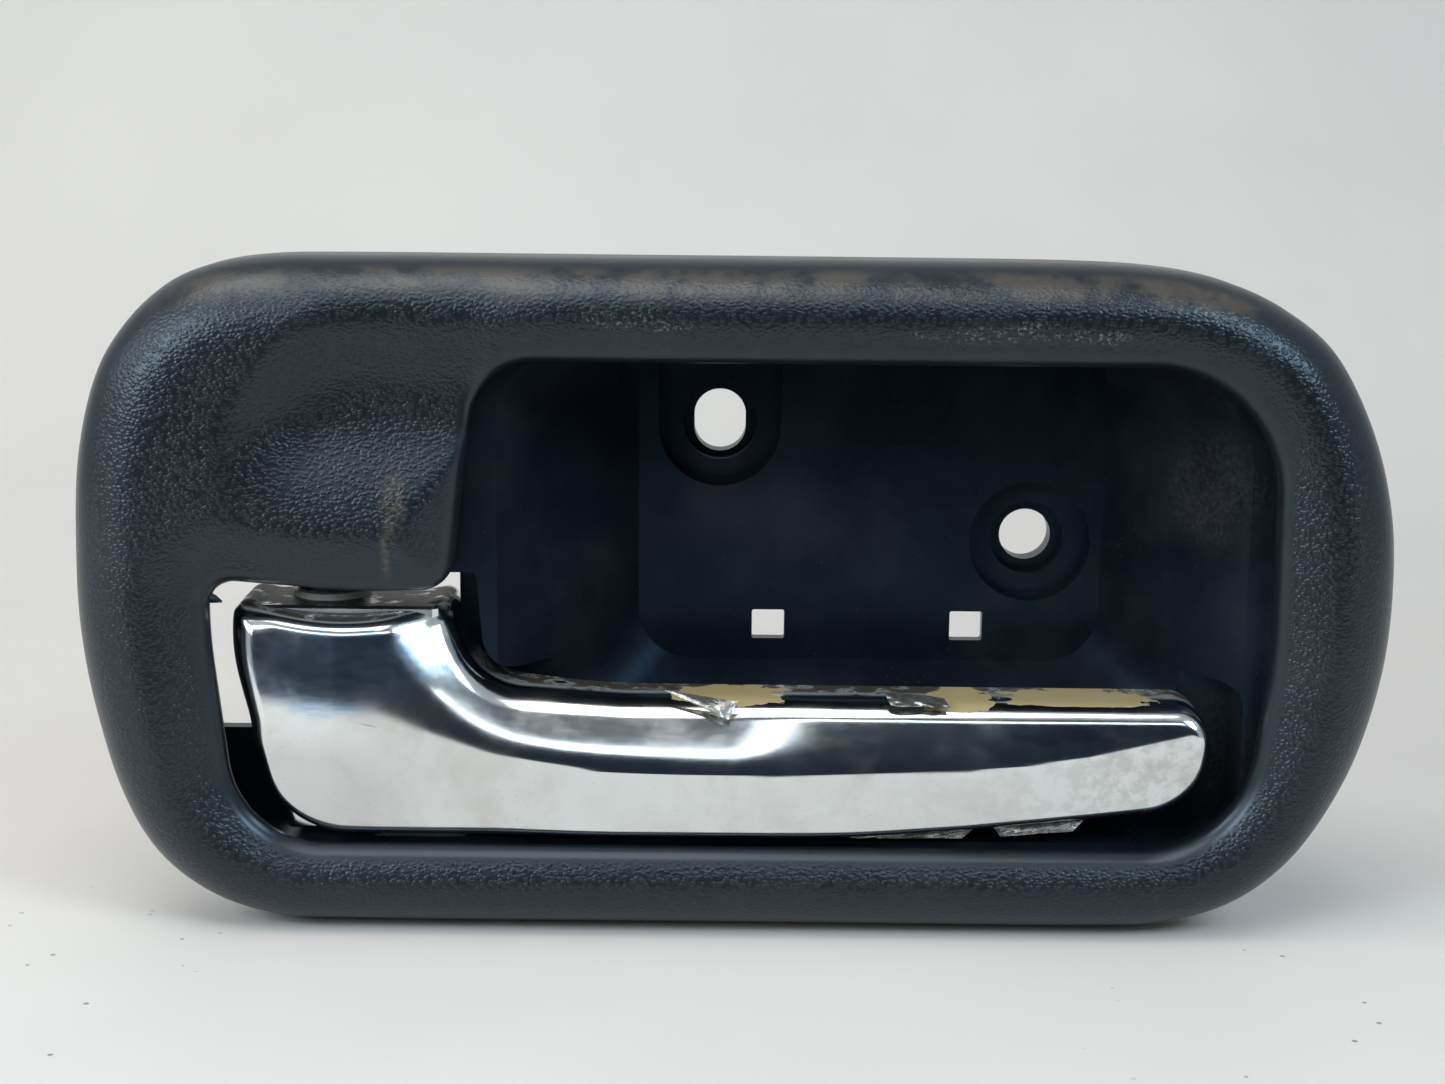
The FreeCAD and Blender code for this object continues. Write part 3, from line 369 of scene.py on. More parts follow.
def lever_face(points):
    """Depth of the lower face: the ridge's own depth, plus bend times width times the logarithm of the
    hyperbolic cosine of the distance off the ridge over the width, plus a slight overall crown."""
    x, z = points[..., 0], points[..., 1]
    ridge_y = np.interp(x, [-63, -50, -20, 30, 61], [-9.6, -10.9, -11.4, -11.2, -9.9])
    level = np.interp(x, [-63, -45, -38, -30, -15, 5, 30, 45, 58],
                      [-13.4, -14.6, -17.0, -19.2, -21.4, -21.9, -20.9, -18.9, -16.0])
    bend = np.interp(x, [-63, -45, -30, 60], [0.09, 0.10, 0.20, 0.20])
    width = np.interp(x, [-63, -45, -28, 60], [4.0, 3.0, 0.6, 0.6])
    off = z - level
    return ridge_y + bend * width * np.log(np.cosh(off / width)) + 0.5 * FACE_CROWN * off ** 2


def lever_height(points):
    """The further back of the lower face and the upper facet, then a rounded outer edge. The facet is
    the face's depth at the nearest place on the crease plus a tilt times the distance past it."""
    face = lever_face(points)
    gap, place = distance_to(points, crease)
    steps = np.arange(len(crease))
    near = np.stack([np.interp(place, steps, crease[:, k]) for k in range(2)], -1)
    along = np.stack([np.interp(place, steps, np.gradient(crease[:, k])) for k in range(2)], -1)
    past = points - near
    side = np.sign(along[..., 0] * past[..., 1] - along[..., 1] * past[..., 0])
    tilt = np.interp(near[..., 0], [-45, 0, 12, 60], [0.62, 0.58, 0.40, 0.34])
    facet = lever_face(near) + tilt * gap * side - CREASE_STEP
    y = smooth_max(face, facet, CREASE_BLEND)
    from_edge = distance_to(points, lever_edge)[0]
    radius = (EDGE_RADIUS + HUB_EDGE_EXTRA * smoothstep((-57 - points[..., 0]) / 5)
              + GRIP_EDGE_EXTRA * smoothstep((points[..., 1] + 19) / 4))
    return y + roll_off(from_edge, radius)


# %% [markdown]
# The lever is a shell too. Its walls are shallow along the grip, where fingers go behind, and deep at
# the hub, where they hide the pin. The hollow behind follows the face at the wall's thickness.

# %% Build the lever's shell
LEVER_WALL, HOLLOW_SLACK, HOLLOW_STEP = 2.4, 0.6, 2.2
GRIP_BACK, HUB_EXTRA, NECK_EXTRA, DEEPEST = 0.8, 5.2, 2.0, 6.3
FACE_ROWS, WALL_ROWS, HOLLOW_WALL_ROWS, HOLLOW_ROWS = 34, 8, 3, 12
nearest = distance_to(lever_loop, spine)[1]
foot = np.stack([np.interp(nearest, np.arange(len(spine)), spine[:, k]) for k in range(2)], 1)
inward = np.linspace(0, 1, FACE_ROWS)
inward = 0.5 * inward + 0.5 * inward ** 2.2
face_xz = lever_loop[None] * (1 - inward[:, None, None]) + foot[None] * inward[:, None, None]
face_y = lever_height(face_xz)
deep = (GRIP_BACK + HUB_EXTRA * smoothstep((-33.5 - lever_loop[:, 0]) / 4.5)
        + NECK_EXTRA * smoothstep((-18 - lever_loop[:, 0]) / 14))
deep = np.minimum(deep, DEEPEST)
thin_loop = lever_loop - outward(lever_loop) * LEVER_WALL
hollow_rows = np.linspace(0, 1, HOLLOW_ROWS)
hollow_xz = thin_loop[None] * (1 - hollow_rows[:, None, None]) + foot[None] * hollow_rows[:, None, None]
step_up = HOLLOW_STEP * smoothstep((hollow_xz[..., 1] + 19) / 8)
hollow_y = lever_face(hollow_xz) + LEVER_WALL + HOLLOW_SLACK + step_up
hollow_y = np.minimum(hollow_y, deep[None] - HOLLOW_SLACK)
shell = np.concatenate([
    with_y(face_xz, face_y)[::-1], wall_rows(lever_loop, face_y[0], deep, WALL_ROWS),
    with_y(lever_loop, deep)[None], with_y(thin_loop, deep)[None],
    wall_rows(thin_loop, deep, hollow_y[0], HOLLOW_WALL_ROWS), with_y(hollow_xz, hollow_y)])
lever = grid_piece("lever_shell", shell[..., [0, 2, 1]], sharp=50, flip=True)
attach(lever, "lever_body")
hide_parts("lever")

# %% [markdown]
# ## Lifting foil
# Old plating comes away as stiff foil. One flake has folded over at the upper edge, one is crinkled, and
# slivers hang under the lower edge. A flake is a four-cornered patch with a curl and fine wrinkles. Its
# thickness falls to nothing at all four edges, so that front and back meet.

# %% Foil flakes
def flake(name, corners, curl, wrinkle, seed, steps=22, thickness=0.10):
    """Blends four corner points over a grid, then moves it forward by the curl times the sine of pi u
    and the sine of pi v, and by seeded waves. The thickness falls to nothing at the edges."""
    chance = np.random.default_rng(seed)
    u, v = np.meshgrid(np.linspace(0, 1, steps * 2), np.linspace(0, 1, steps))
    a, b, c, d = (np.array(k, float) for k in corners)
    base = (a * ((1 - u) * (1 - v))[..., None] + b * (u * (1 - v))[..., None]
            + c * (u * v)[..., None] + d * ((1 - u) * v)[..., None])
    waves = 0
    for f in (2, 3, 5, 8):
        size, across = chance.normal(), chance.uniform(0.5, 2)
        down, start = chance.uniform(-1, 1), chance.uniform(0, 6)
        waves = waves + size * np.sin(f * (u * across + v * down) * math.pi + start) / f
    base[..., 1] -= curl * np.sin(math.pi * u) * np.sin(math.pi * v) + wrinkle * waves
    half = thickness / 2 * np.sqrt(np.clip(16 * u * (1 - u) * v * (1 - v), 0, 1))
    front, back = base.copy(), base.copy()
    front[..., 1] -= half
    back[..., 1] += half
    ring = np.concatenate([front, back[:, ::-1]], 1)
    return grid_piece(name, ring, sharp=30)


FLAKES = [
    ("foil_folded", [(-8.8, -7.2, -11.6), (0.6, -8.6, -12.6), (-0.6, -10.2, -14.6), (-2.2, -9.9, -13.9)],
     0.35, 0.10, 3),
    ("foil_crinkled", [(19.0, -6.8, -11.6), (26.6, -7.4, -12.1), (27.2, -9.4, -12.9), (19.8, -9.3, -12.8)],
     0.4, 0.25, 8),
    ("foil_lower_left",
     [(12.5, -6.4, -30.0), (31.0, -6.6, -29.6), (29.5, -7.2, -30.8), (15.5, -7.0, -31.0)], 0.2, 0.10, 4),
    ("foil_lower_right",
     [(33.5, -6.6, -29.4), (45.0, -6.7, -28.4), (43.6, -7.4, -29.6), (34.4, -7.2, -30.5)], 0.2, 0.12, 5)]
foils = [flake(*given) for given in FLAKES]
for part in foils:
    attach(part, "lever_body")

# %% [markdown]
# ## The crank arm
# Behind the frame the lever has an arm with an eye for the rod clip. It is a flat plate, so its section
# is one closed strip carried round: top, eye wall, bottom, outer edge. Each edge has a small chamfer.

# %% Plates with a hole
def ring_plate(name, rim, hole, low_z, high_z, chamfer=0.35):
    """A flat plate with one hole: a closed strip of eight rows, chamfered at its four edges.
    Each point of the hole is joined to the rim point that lies at the same bearing."""
    centre = hole.mean(0)
    wanted, given = (np.arctan2(*(loop - centre).T) for loop in (hole, rim))
    order = np.argsort(given)
    rim = np.stack([np.interp(wanted, given[order], rim[order, k], period=2 * math.pi)
                    for k in range(2)], 1)
    rim_inner = rim - outward_of(rim) * chamfer
    hole_outer = centre + (hole - centre) * (1 + chamfer / np.linalg.norm(hole[0] - centre))
    strip = [(rim_inner, high_z), (hole_outer, high_z), (hole, high_z - chamfer), (hole, low_z + chamfer),
             (hole_outer, low_z), (rim_inner, low_z), (rim, low_z + chamfer), (rim, high_z - chamfer)]
    grid = np.array([np.concatenate([loop, np.full((len(loop), 1), z)], 1) for loop, z in strip])
    return grid_piece(name, grid, closed_v=True, sharp=30)


def outward_of(loop):
    """Unit normals of a loop, pointing away from its middle whichever way it runs."""
    normal = outward(loop)
    away = ((loop - loop.mean(0)) * normal).sum(1).mean()
    return normal * np.sign(away)


def circle(centre, radius, count=120):
    """Even points round a circle, clockwise from the top."""
    turn = np.linspace(0, 2 * math.pi, count, endpoint=False)
    return centre + radius * np.stack([np.sin(turn), np.cos(turn)], 1)


# %% [markdown]
# The arm turns about the lever's own pin, so its places come from the joint and from the rod clip that
# sits in its eye. A web stiffens it, and a lug above and one below carry the lever's bushes.

# %% Build the arm and the lugs
swing = [j for j in frame["joints"] if j["name"] == "lever_swing"][0]
pin = np.array(swing["pos_m"][:2]) / MM
clip_low, clip_high = (np.array(c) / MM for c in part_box("rod_clip"))
eye = np.array([pin[0], (clip_low[1] + clip_high[1]) / 2])
ARM_LOW, ARM_HIGH, BUSH_HOLE, EYE_HOLE = -18.5, -14.5, 3.42, 2.5
UPPER_LUG, LOWER_LUG = (-4.4, -1.4), (-30.7, -27.7)
ARM_HALF, ARM_FRONT, WEB_SLACK, RIM_POINTS = 3.4, 6.5, 0.2, 900
WEB_LEFT, WEB_RIGHT = -59.6, -38.4
LUG_RIGHT, LUG_BACK, LUG_FRONT = -37.4, 5.9, -6
arm_rim = rounded_loop([
    (pin[0] - 5, eye[1] + 5, 4.9), (pin[0] + 5, eye[1] + 5, 4.9), (pin[0] + 4.9, eye[1] - 3.0, 2.0),
    (pin[0] + ARM_HALF, eye[1] - 6.5, 2.4), (pin[0] + ARM_HALF, ARM_FRONT, 0.8),
    (pin[0] - ARM_HALF, ARM_FRONT, 0.8), (pin[0] - ARM_HALF, eye[1] - 6.5, 2.4),
    (pin[0] - 4.9, eye[1] - 3.0, 2.0)], RIM_POINTS)
web_rim = rounded_loop([
    (WEB_LEFT, 4.2, 3), (pin[0] - 3.5, 11.0, 2), (pin[0] + 3.5, 11.0, 2), (WEB_RIGHT, 5.2, 2),
    (WEB_RIGHT, LUG_FRONT, 1), (WEB_LEFT, LUG_FRONT, 1)], RIM_POINTS)


def lug_rim(left, radius):
    """The outline of a lug seen from above, from its left edge to the neck of the lever."""
    return rounded_loop([(left, LUG_BACK, radius), (LUG_RIGHT, LUG_BACK, 1.5), (LUG_RIGHT, LUG_FRONT, 1),
                         (left, LUG_FRONT, 1)], RIM_POINTS)


arm_parts = [
    ring_plate("lever_arm", arm_rim, circle(eye, EYE_HOLE), ARM_LOW, ARM_HIGH),
    ring_plate("lever_web", web_rim, circle(pin, BUSH_HOLE), ARM_LOW + WEB_SLACK, ARM_HIGH - WEB_SLACK),
    ring_plate("lever_lug_upper", lug_rim(-60.4, 3), circle(pin, BUSH_HOLE), *UPPER_LUG),
    ring_plate("lever_lug_lower", lug_rim(-57.4, 2), circle(pin, BUSH_HOLE), *LOWER_LUG)]
for part in arm_parts:
    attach(part, "lever_body")

# %% [markdown]
# ## Finishes
# Each finish is built from what happens to the real material. A mould's texture gives the grain, hands
# polish the crown, dust settles in corners, and plating lifts at an edge that is pulled every day. A
# small helper makes shader nodes and joins them, so that every recipe below reads from top to bottom.

# %% Node helpers
class Recipe:
    """Adds nodes to one tree. An input given a socket is linked, and anything else is set as its value."""

    def __init__(self, tree):
        self.tree = tree

    def feed(self, socket, value):
        if isinstance(value, bpy.types.NodeSocket):
            self.tree.links.new(value, socket)
        else:
            socket.default_value = value

    def node(self, kind, inputs=(), **settings):
        made = self.tree.nodes.new(kind)
        for key, value in settings.items():
            setattr(made, key, value)
        for key, value in dict(inputs).items():
            self.feed(made.inputs[key], value)
        return made

    def math(self, operation, *values):
        return self.node("ShaderNodeMath", enumerate(values), operation=operation).outputs[0]

    def vector(self, operation, *values):
        made = self.node("ShaderNodeVectorMath", enumerate(values), operation=operation)
        return made.outputs["Value" if operation in ("LENGTH", "DOT_PRODUCT") else "Vector"]

    def ramp(self, value, low, high, out_low=0.0, out_high=1.0):
        """Smooth step of a value from low to high."""
        return self.node("ShaderNodeMapRange", {
            "Value": value, "From Min": low, "From Max": high, "To Min": out_low, "To Max": out_high},
            interpolation_type="SMOOTHSTEP").outputs[0]

    def mix(self, amount, a, b):
        """Colour a, turning into colour b. The mix node's colour sockets are numbers 6, 7 and 2."""
        return self.node("ShaderNodeMix", {0: amount, 6: a, 7: b}, data_type="RGBA").outputs[2]

    def blend(self, amount, a, b):
        """The same for plain values."""
        return self.node("ShaderNodeMix", {0: amount, 2: a, 3: b}, data_type="FLOAT").outputs[0]

    def noise(self, at, scale, detail=3.0, roughness=0.55, distortion=0.0):
        return self.node("ShaderNodeTexNoise", {
            "Vector": at, "Scale": scale, "Detail": detail, "Roughness": roughness,
            "Distortion": distortion}).outputs["Fac"]

    def use(self, group, **inputs):
        """A shared effect, its sockets given by name."""
        named = {key.replace("_", " ").title(): value for key, value in inputs.items()}
        return self.node("ShaderNodeGroup", node_tree=group, inputs=named).outputs


def new_group(name, inputs, outputs):
    """A shader node group with named sockets. Inputs are (name, kind, value), outputs (name, kind)."""
    tree = bpy.data.node_groups.new(name, "ShaderNodeTree")
    for label, kind, value in inputs:
        socket = tree.interface.new_socket(label, in_out="INPUT", socket_type="NodeSocket" + kind)
        socket.default_value = value
    for label, kind in outputs:
        tree.interface.new_socket(label, in_out="OUTPUT", socket_type="NodeSocket" + kind)
    recipe = Recipe(tree)
    return recipe, recipe.node("NodeGroupInput").outputs, recipe.node("NodeGroupOutput").inputs


def new_material(name):
    """A material, the recipe for its tree, its shader and the object's own coordinates in metres."""
    material = bpy.data.materials.new(name)
    material.use_nodes = True
    recipe = Recipe(material.node_tree)
    shader = material.node_tree.nodes["Principled BSDF"]
    at = recipe.node("ShaderNodeTexCoord").outputs["Object"]
    return material, recipe, shader, at


def wire(recipe, shader, **inputs):
    """Feeds the shader: sockets are linked, numbers are set on the shader's own sockets."""
    for key, value in inputs.items():
        recipe.feed(shader.inputs[key.replace("_", " ").title().replace("Ior", "IOR")], value)


def grey(level, tint=(1.0, 1.0, 1.0)):
    """A colour of one level, leaning towards a tint."""
    return (level * tint[0], level * tint[1], level * tint[2], 1.0)


# %% [markdown]
# ### Shared effects
# Three effects are used again and again. *Leather grain* is the pebbled texture that is etched into a
# mould. *Dust* is soft, patchy and pale. *Ragged patch* is an oval with a torn edge, for a place where
# plating has lifted, a scuff, a stain or a patch of painted reflection.

# %% Leather grain
recipe, given, out = new_group("Leather grain", [
    ("Position", "Vector", (0, 0, 0)), ("Cell", "Float", 0.0007), ("Stretch", "Float", 1.5)],
    [("Height", "Float"), ("Valley", "Float")])
shift = recipe.node("ShaderNodeTexNoise", {"Vector": given["Position"], "Scale": 900.0, "Detail": 1.0})
wander = recipe.vector("MULTIPLY", recipe.vector("SUBTRACT", shift.outputs["Color"], (0.5, 0.5, 0.5)),
                       (0.0006, 0.0006, 0.0006))
warped = recipe.vector("ADD", given["Position"], wander)
across = recipe.node("ShaderNodeCombineXYZ", {
    0: recipe.math("DIVIDE", 1.0, given["Stretch"]), 1: 1.0, 2: 1.0}).outputs[0]
cells = recipe.node("ShaderNodeTexVoronoi", {
    "Vector": recipe.vector("MULTIPLY", warped, across),
    "Scale": recipe.math("DIVIDE", 1.0, given["Cell"]), "Smoothness": 0.35}, feature="SMOOTH_F1")
pebble = recipe.ramp(cells.outputs["Distance"], 0.12, 0.72, 1.0, 0.0)
fine = recipe.noise(given["Position"], 5200.0, 2.0)
height = recipe.math("ADD", pebble, recipe.math("MULTIPLY", fine, 0.25))
recipe.tree.links.new(height, out["Height"])
recipe.tree.links.new(recipe.math("SUBTRACT", 1.0, pebble), out["Valley"])
leather_grain = recipe.tree

# %% Dust
recipe, given, out = new_group("Dust", [
    ("Position", "Vector", (0, 0, 0)), ("Amount", "Float", 0.4), ("Speck Size", "Float", 0.0006)],
    [("Cover", "Float")])
cloud = recipe.noise(given["Position"], 55.0, 6.0, 0.62)
film = recipe.ramp(cloud, 0.42, 0.78)
speck = recipe.node("ShaderNodeTexVoronoi", {
    "Vector": given["Position"], "Scale": recipe.math("DIVIDE", 1.0, given["Speck Size"])})
rare = recipe.math("GREATER_THAN", recipe.node(
    "ShaderNodeSeparateColor", {0: speck.outputs["Color"]}).outputs[0], 0.93)
dot = recipe.math("MULTIPLY", rare, recipe.ramp(speck.outputs["Distance"], 0.10, 0.26, 1.0, 0.0))
thickest = recipe.math("MAXIMUM", recipe.math("MULTIPLY", film, 0.55), dot)
cover = recipe.math("MULTIPLY", thickest, given["Amount"])
recipe.tree.links.new(cover, out["Cover"])
dust = recipe.tree

# %% Ragged patch
recipe, given, out = new_group("Ragged patch", [
    ("Position", "Vector", (0, 0, 0)), ("Centre", "Vector", (0, 0, 0)),
    ("Size", "Vector", (0.01, 0.01, 0.01)), ("Ragged", "Float", 0.5), ("Tear", "Float", 500.0),
    ("Soft", "Float", 0.06)], [("Inside", "Float")])
offset = recipe.vector("SUBTRACT", given["Position"], given["Centre"])
offset = recipe.vector("DIVIDE", offset, given["Size"])
tear = recipe.math("SUBTRACT", recipe.noise(given["Position"], given["Tear"], 4.0), 0.5)
torn = recipe.math("MULTIPLY", tear, recipe.math("MULTIPLY", given["Ragged"], 2.0))
reach = recipe.math("ADD", recipe.vector("LENGTH", offset), torn)
inside = recipe.math("SUBTRACT", 1.0, recipe.ramp(
    reach, recipe.math("SUBTRACT", 1.0, given["Soft"]), recipe.math("ADD", 1.0, given["Soft"])))
recipe.tree.links.new(inside, out["Inside"])
ragged_patch = recipe.tree


def patches(recipe, at, places, ragged=0.5, tear=500.0, soft=0.06):
    """The union of several ragged patches. Each place is (x, y, z, half width, half depth, half height)
    in millimetres."""
    total = None
    for place in places:
        centre, size = [tuple(v * MM for v in place[k:k + 3]) for k in (0, 3)]
        one = recipe.use(ragged_patch, position=at, centre=centre, size=size, ragged=ragged, tear=tear,
                         soft=soft)["Inside"]
        total = one if total is None else recipe.math("MAXIMUM", total, one)
    return total


# %% [markdown]
# ### The grained frame
# Charcoal polypropylene with a pebble grain. The grain fades towards the smooth outer flank and the
# rolled lip, hands have browned the top of the dome, and the dish carries a few scuffs.

# %% Grained plastic
material, recipe, shader, at = new_material("grained_bezel")
edge = recipe.node("ShaderNodeAttribute", attribute_name="from_edge").outputs["Fac"]
lip = recipe.node("ShaderNodeAttribute", attribute_name="from_lip").outputs["Fac"]
where = recipe.node("ShaderNodeSeparateXYZ", {0: at}).outputs
grain = recipe.use(leather_grain, position=at, cell=0.00044, stretch=1.35)
shown = recipe.math("MULTIPLY", recipe.ramp(edge, 1.0, 5.0), recipe.ramp(lip, 0.8, 2.4))
brow = recipe.math("MULTIPLY", recipe.ramp(where["Z"], 0.0350, 0.0385), recipe.math(
    "MULTIPLY", recipe.ramp(edge, 0.6, 1.8), recipe.ramp(edge, 3.2, 5.2, 1.0, 0.0)))
rubbed = recipe.math("MULTIPLY", brow, recipe.ramp(recipe.noise(at, 150.0, 6.0, 0.65), 0.36, 0.62))
scuffed = patches(recipe, at, [
    (-14.0, -11, 35.6, 4.4, 6, 1.0), (-7.5, -11, 35.0, 3.0, 6, 0.7), (35.0, -11, 35.3, 3.0, 6, 0.8),
    (30.0, -11, 34.2, 7.0, 6, 0.9), (43.0, -11, 34.2, 6.0, 6, 0.8)], ragged=0.9, tear=500.0, soft=0.5)
scuffed = recipe.math("MULTIPLY", scuffed, recipe.ramp(recipe.noise(at, 2200.0, 4.0, 0.7), 0.52, 0.66))
scratch = patches(recipe, at, [(-41.9, -9, 12.0, 1.5, 6, 4.2), (-43.0, -9, 7.4, 0.7, 6, 3.2)],
                  ragged=0.7, tear=420.0, soft=0.6)
scratch = recipe.math("MULTIPLY", scratch, recipe.ramp(recipe.noise(at, 1500.0, 4.0, 0.7), 0.36, 0.62))
film = recipe.use(dust, position=at, amount=0.5, speck_size=0.0008)["Cover"]
CHARCOAL = (0.78, 1.0, 1.3)
colour = recipe.mix(recipe.math("MULTIPLY", shown, grain["Valley"]), grey(0.010, CHARCOAL),
                    grey(0.005, CHARCOAL))
colour = recipe.mix(recipe.math("MULTIPLY", rubbed, 0.55), colour, (0.115, 0.085, 0.06, 1))
colour = recipe.mix(recipe.math("MULTIPLY", scuffed, 0.4), colour, grey(0.34))
colour = recipe.mix(recipe.math("MULTIPLY", scratch, 0.5), colour, (0.20, 0.15, 0.10, 1))
colour = recipe.mix(recipe.math("MULTIPLY", film, 0.06), colour, grey(0.34, (1.0, 0.98, 0.94)))
rough = recipe.blend(shown, 0.30, 0.34)
rough = recipe.math("ADD", rough, recipe.math("MULTIPLY", film, 0.2))
bump = recipe.node("ShaderNodeBump", {
    "Height": recipe.math("MULTIPLY", grain["Height"], shown), "Strength": 0.85, "Distance": 0.00007})
# The specular tint paints the frame's reflections bluish.
wire(recipe, shader, base_color=colour, roughness=rough, normal=bump.outputs["Normal"], ior=1.52,
     specular_tint=(0.80, 0.95, 1.1, 1.0))
bezel.data.materials.append(material)

# %% [markdown]
# The grain has to know how far it is from either edge. A moulder would mask the mould there before
# etching it, so each point of the mesh carries its two distances, in millimetres.

# %% Distances for the grain
places = np.zeros(len(bezel.data.vertices) * 3, np.float32)
bezel.data.vertices.foreach_get("co", places)
front_view = places.reshape(-1, 3)[:, [0, 2]] / MM
for label, path in (("from_edge", coarse_out), ("from_lip", coarse_in)):
    gap = distance_to(front_view, path)[0]
    bezel.data.attributes.new(label, "FLOAT", "POINT").data.foreach_set("value", gap.astype(np.float32))

# %% [markdown]
# ### Worn plating
# Bright chromium on ABS. It is nearly a mirror, with fine rubbing along the grip and finger marks that
# haze it. Along the upper edge it has lifted in flakes, and the tan plastic below shows. Bluish patches
# of painted reflection stand for the dark room mirrored at the hub, the neck and the grip, and the
# plating is darker towards the lower left of the hub.

# %% Plating
material, recipe, shader, at = new_material("plated_lever")
where = recipe.node("ShaderNodeSeparateXYZ", {0: at}).outputs
peeled = patches(recipe, at, [
    (-0.5, -7, -12.6, 7.6, 9, 1.0), (28.5, -7, -12.9, 4.2, 9, 0.9), (44.0, -7, -12.9, 9.0, 9, 0.22)],
    ragged=0.6, tear=420.0, soft=0.03)
surface = recipe.node("ShaderNodeNewGeometry").outputs["Normal"]
facing = recipe.node("ShaderNodeSeparateXYZ", {0: surface}).outputs
hub_end = recipe.ramp(where["X"], -0.034, -0.037)
grime_line = recipe.math("MULTIPLY", recipe.ramp(recipe.noise(at, 420.0, 5.0), 0.28, 0.50), recipe.math(
    "MAXIMUM", recipe.math("MULTIPLY", hub_end, recipe.ramp(facing["Z"], 0.80, 0.93)),
    recipe.math("MULTIPLY", recipe.ramp(where["Y"], -0.0048, -0.0022), recipe.ramp(facing["Z"], 0.5, 0.8))))
grime_line = recipe.math("MULTIPLY", grime_line, recipe.ramp(where["Y"], 0.006, 0.005))
smudge = recipe.ramp(recipe.noise(at, 85.0, 7.0, 0.68, 0.4), 0.42, 0.66)
streaks = recipe.noise(recipe.vector("MULTIPLY", at, (0.14, 1.0, 1.0)), 2600.0, 3.0)
specks = recipe.use(dust, position=at, amount=1.0, speck_size=0.0007)["Cover"]
colour = recipe.mix(smudge, grey(0.81, (0.975, 1.0, 1.0)), grey(0.70, (1.0, 0.99, 0.97)))
# Brushing streaks at the hub, coloured blue as a painted reflection of the dark room mirrored there.
brushed_blue_reflection = patches(recipe, at, [(-50.0, -10, -8.8, 10.5, 9, 5.6)], ragged=0.35, tear=240.0, soft=0.25)
lines = recipe.noise(recipe.vector("MULTIPLY", at, (0.10, 1.0, 1.0)), 3200.0, 3.0)
lines = recipe.blend(recipe.ramp(lines, 0.35, 0.65), 0.35, 0.85)
colour = recipe.mix(recipe.math("MULTIPLY", brushed_blue_reflection, lines), colour, (0.34, 0.52, 0.74, 1))
# The plating is darker towards the lower left of the hub.
darker_lower_hub = recipe.math("MULTIPLY", recipe.ramp(where["X"], -0.034, -0.052),
                   recipe.ramp(where["Z"], -0.016, -0.021))
colour = recipe.mix(recipe.math("MULTIPLY", darker_lower_hub, 0.45), colour, grey(0.50, (1.0, 0.99, 0.97)))
colour = recipe.mix(recipe.math("MULTIPLY", specks, 0.35), colour, (0.32, 0.28, 0.22, 1))
colour = recipe.mix(grime_line, colour, (0.05, 0.038, 0.026, 1))
colour = recipe.mix(peeled, colour, (0.38, 0.28, 0.13, 1))
# Painted reflection: dark blue patches at the neck and on the grip's upper facet stand for the dark room
# mirrored there.
painted_dark_reflection = patches(recipe, at, [(-36.0, -10, -7.0, 3.0, 6, 1.9), (40.5, -11, -16.2, 5.5, 6, 1.2)],
                 ragged=0.8, tear=380.0, soft=0.3)
colour = recipe.mix(recipe.math("MULTIPLY", painted_dark_reflection, 0.55), colour, (0.20, 0.26, 0.40, 1))
mottle = recipe.math("MULTIPLY", recipe.ramp(where["X"], 0.020, 0.055), recipe.ramp(
    recipe.noise(at, 520.0, 5.0, 0.65), 0.44, 0.60))
colour = recipe.mix(recipe.math("MULTIPLY", mottle, 0.32), colour, (0.36, 0.33, 0.30, 1))
bare = recipe.math("MAXIMUM", peeled, grime_line)
metal = recipe.math("SUBTRACT", 1.0, bare)
rough = recipe.math("ADD", recipe.blend(smudge, 0.10, 0.17), recipe.math("MULTIPLY", streaks, 0.06))
rough = recipe.math("ADD", rough, recipe.math("MULTIPLY", bare, 0.35))
rough = recipe.math("ADD", rough, recipe.math("MULTIPLY", brushed_blue_reflection, 0.04))
wave = recipe.noise(at, 120.0, 2.0)
relief = recipe.math("ADD", recipe.math("MULTIPLY", streaks, 0.012), recipe.math("MULTIPLY", wave, 0.55))
relief = recipe.math("SUBTRACT", relief, recipe.math("MULTIPLY", peeled, 0.5))
bump = recipe.node("ShaderNodeBump", {"Height": relief, "Strength": 0.5, "Distance": 0.0001})
wire(recipe, shader, base_color=colour, roughness=rough, metallic=metal, normal=bump.outputs["Normal"])
for piece in [lever] + arm_parts:
    piece.data.materials.append(material)

# %% [markdown]
# ### Foil
# A flake shows its crumpled back as often as its front, so it is duller than the lever, with light and
# dark facets from one noise that sets its colour, its gloss and its relief together.

# %% Foil
material, recipe, shader, at = new_material("lifted_foil")
crumple = recipe.noise(at, 700.0, 4.0, 0.6)
colour = recipe.mix(recipe.ramp(crumple, 0.4, 0.6), grey(0.46, (1.0, 0.98, 0.93)),
                    grey(0.24, (1.0, 0.96, 0.88)))
bump = recipe.node("ShaderNodeBump", {"Height": crumple, "Strength": 0.6, "Distance": 0.0002})
wire(recipe, shader, base_color=colour, metallic=0.85, normal=bump.outputs["Normal"],
     roughness=recipe.ramp(crumple, 0.3, 0.7, 0.16, 0.34))
for piece in foils:
    piece.data.materials.append(material)
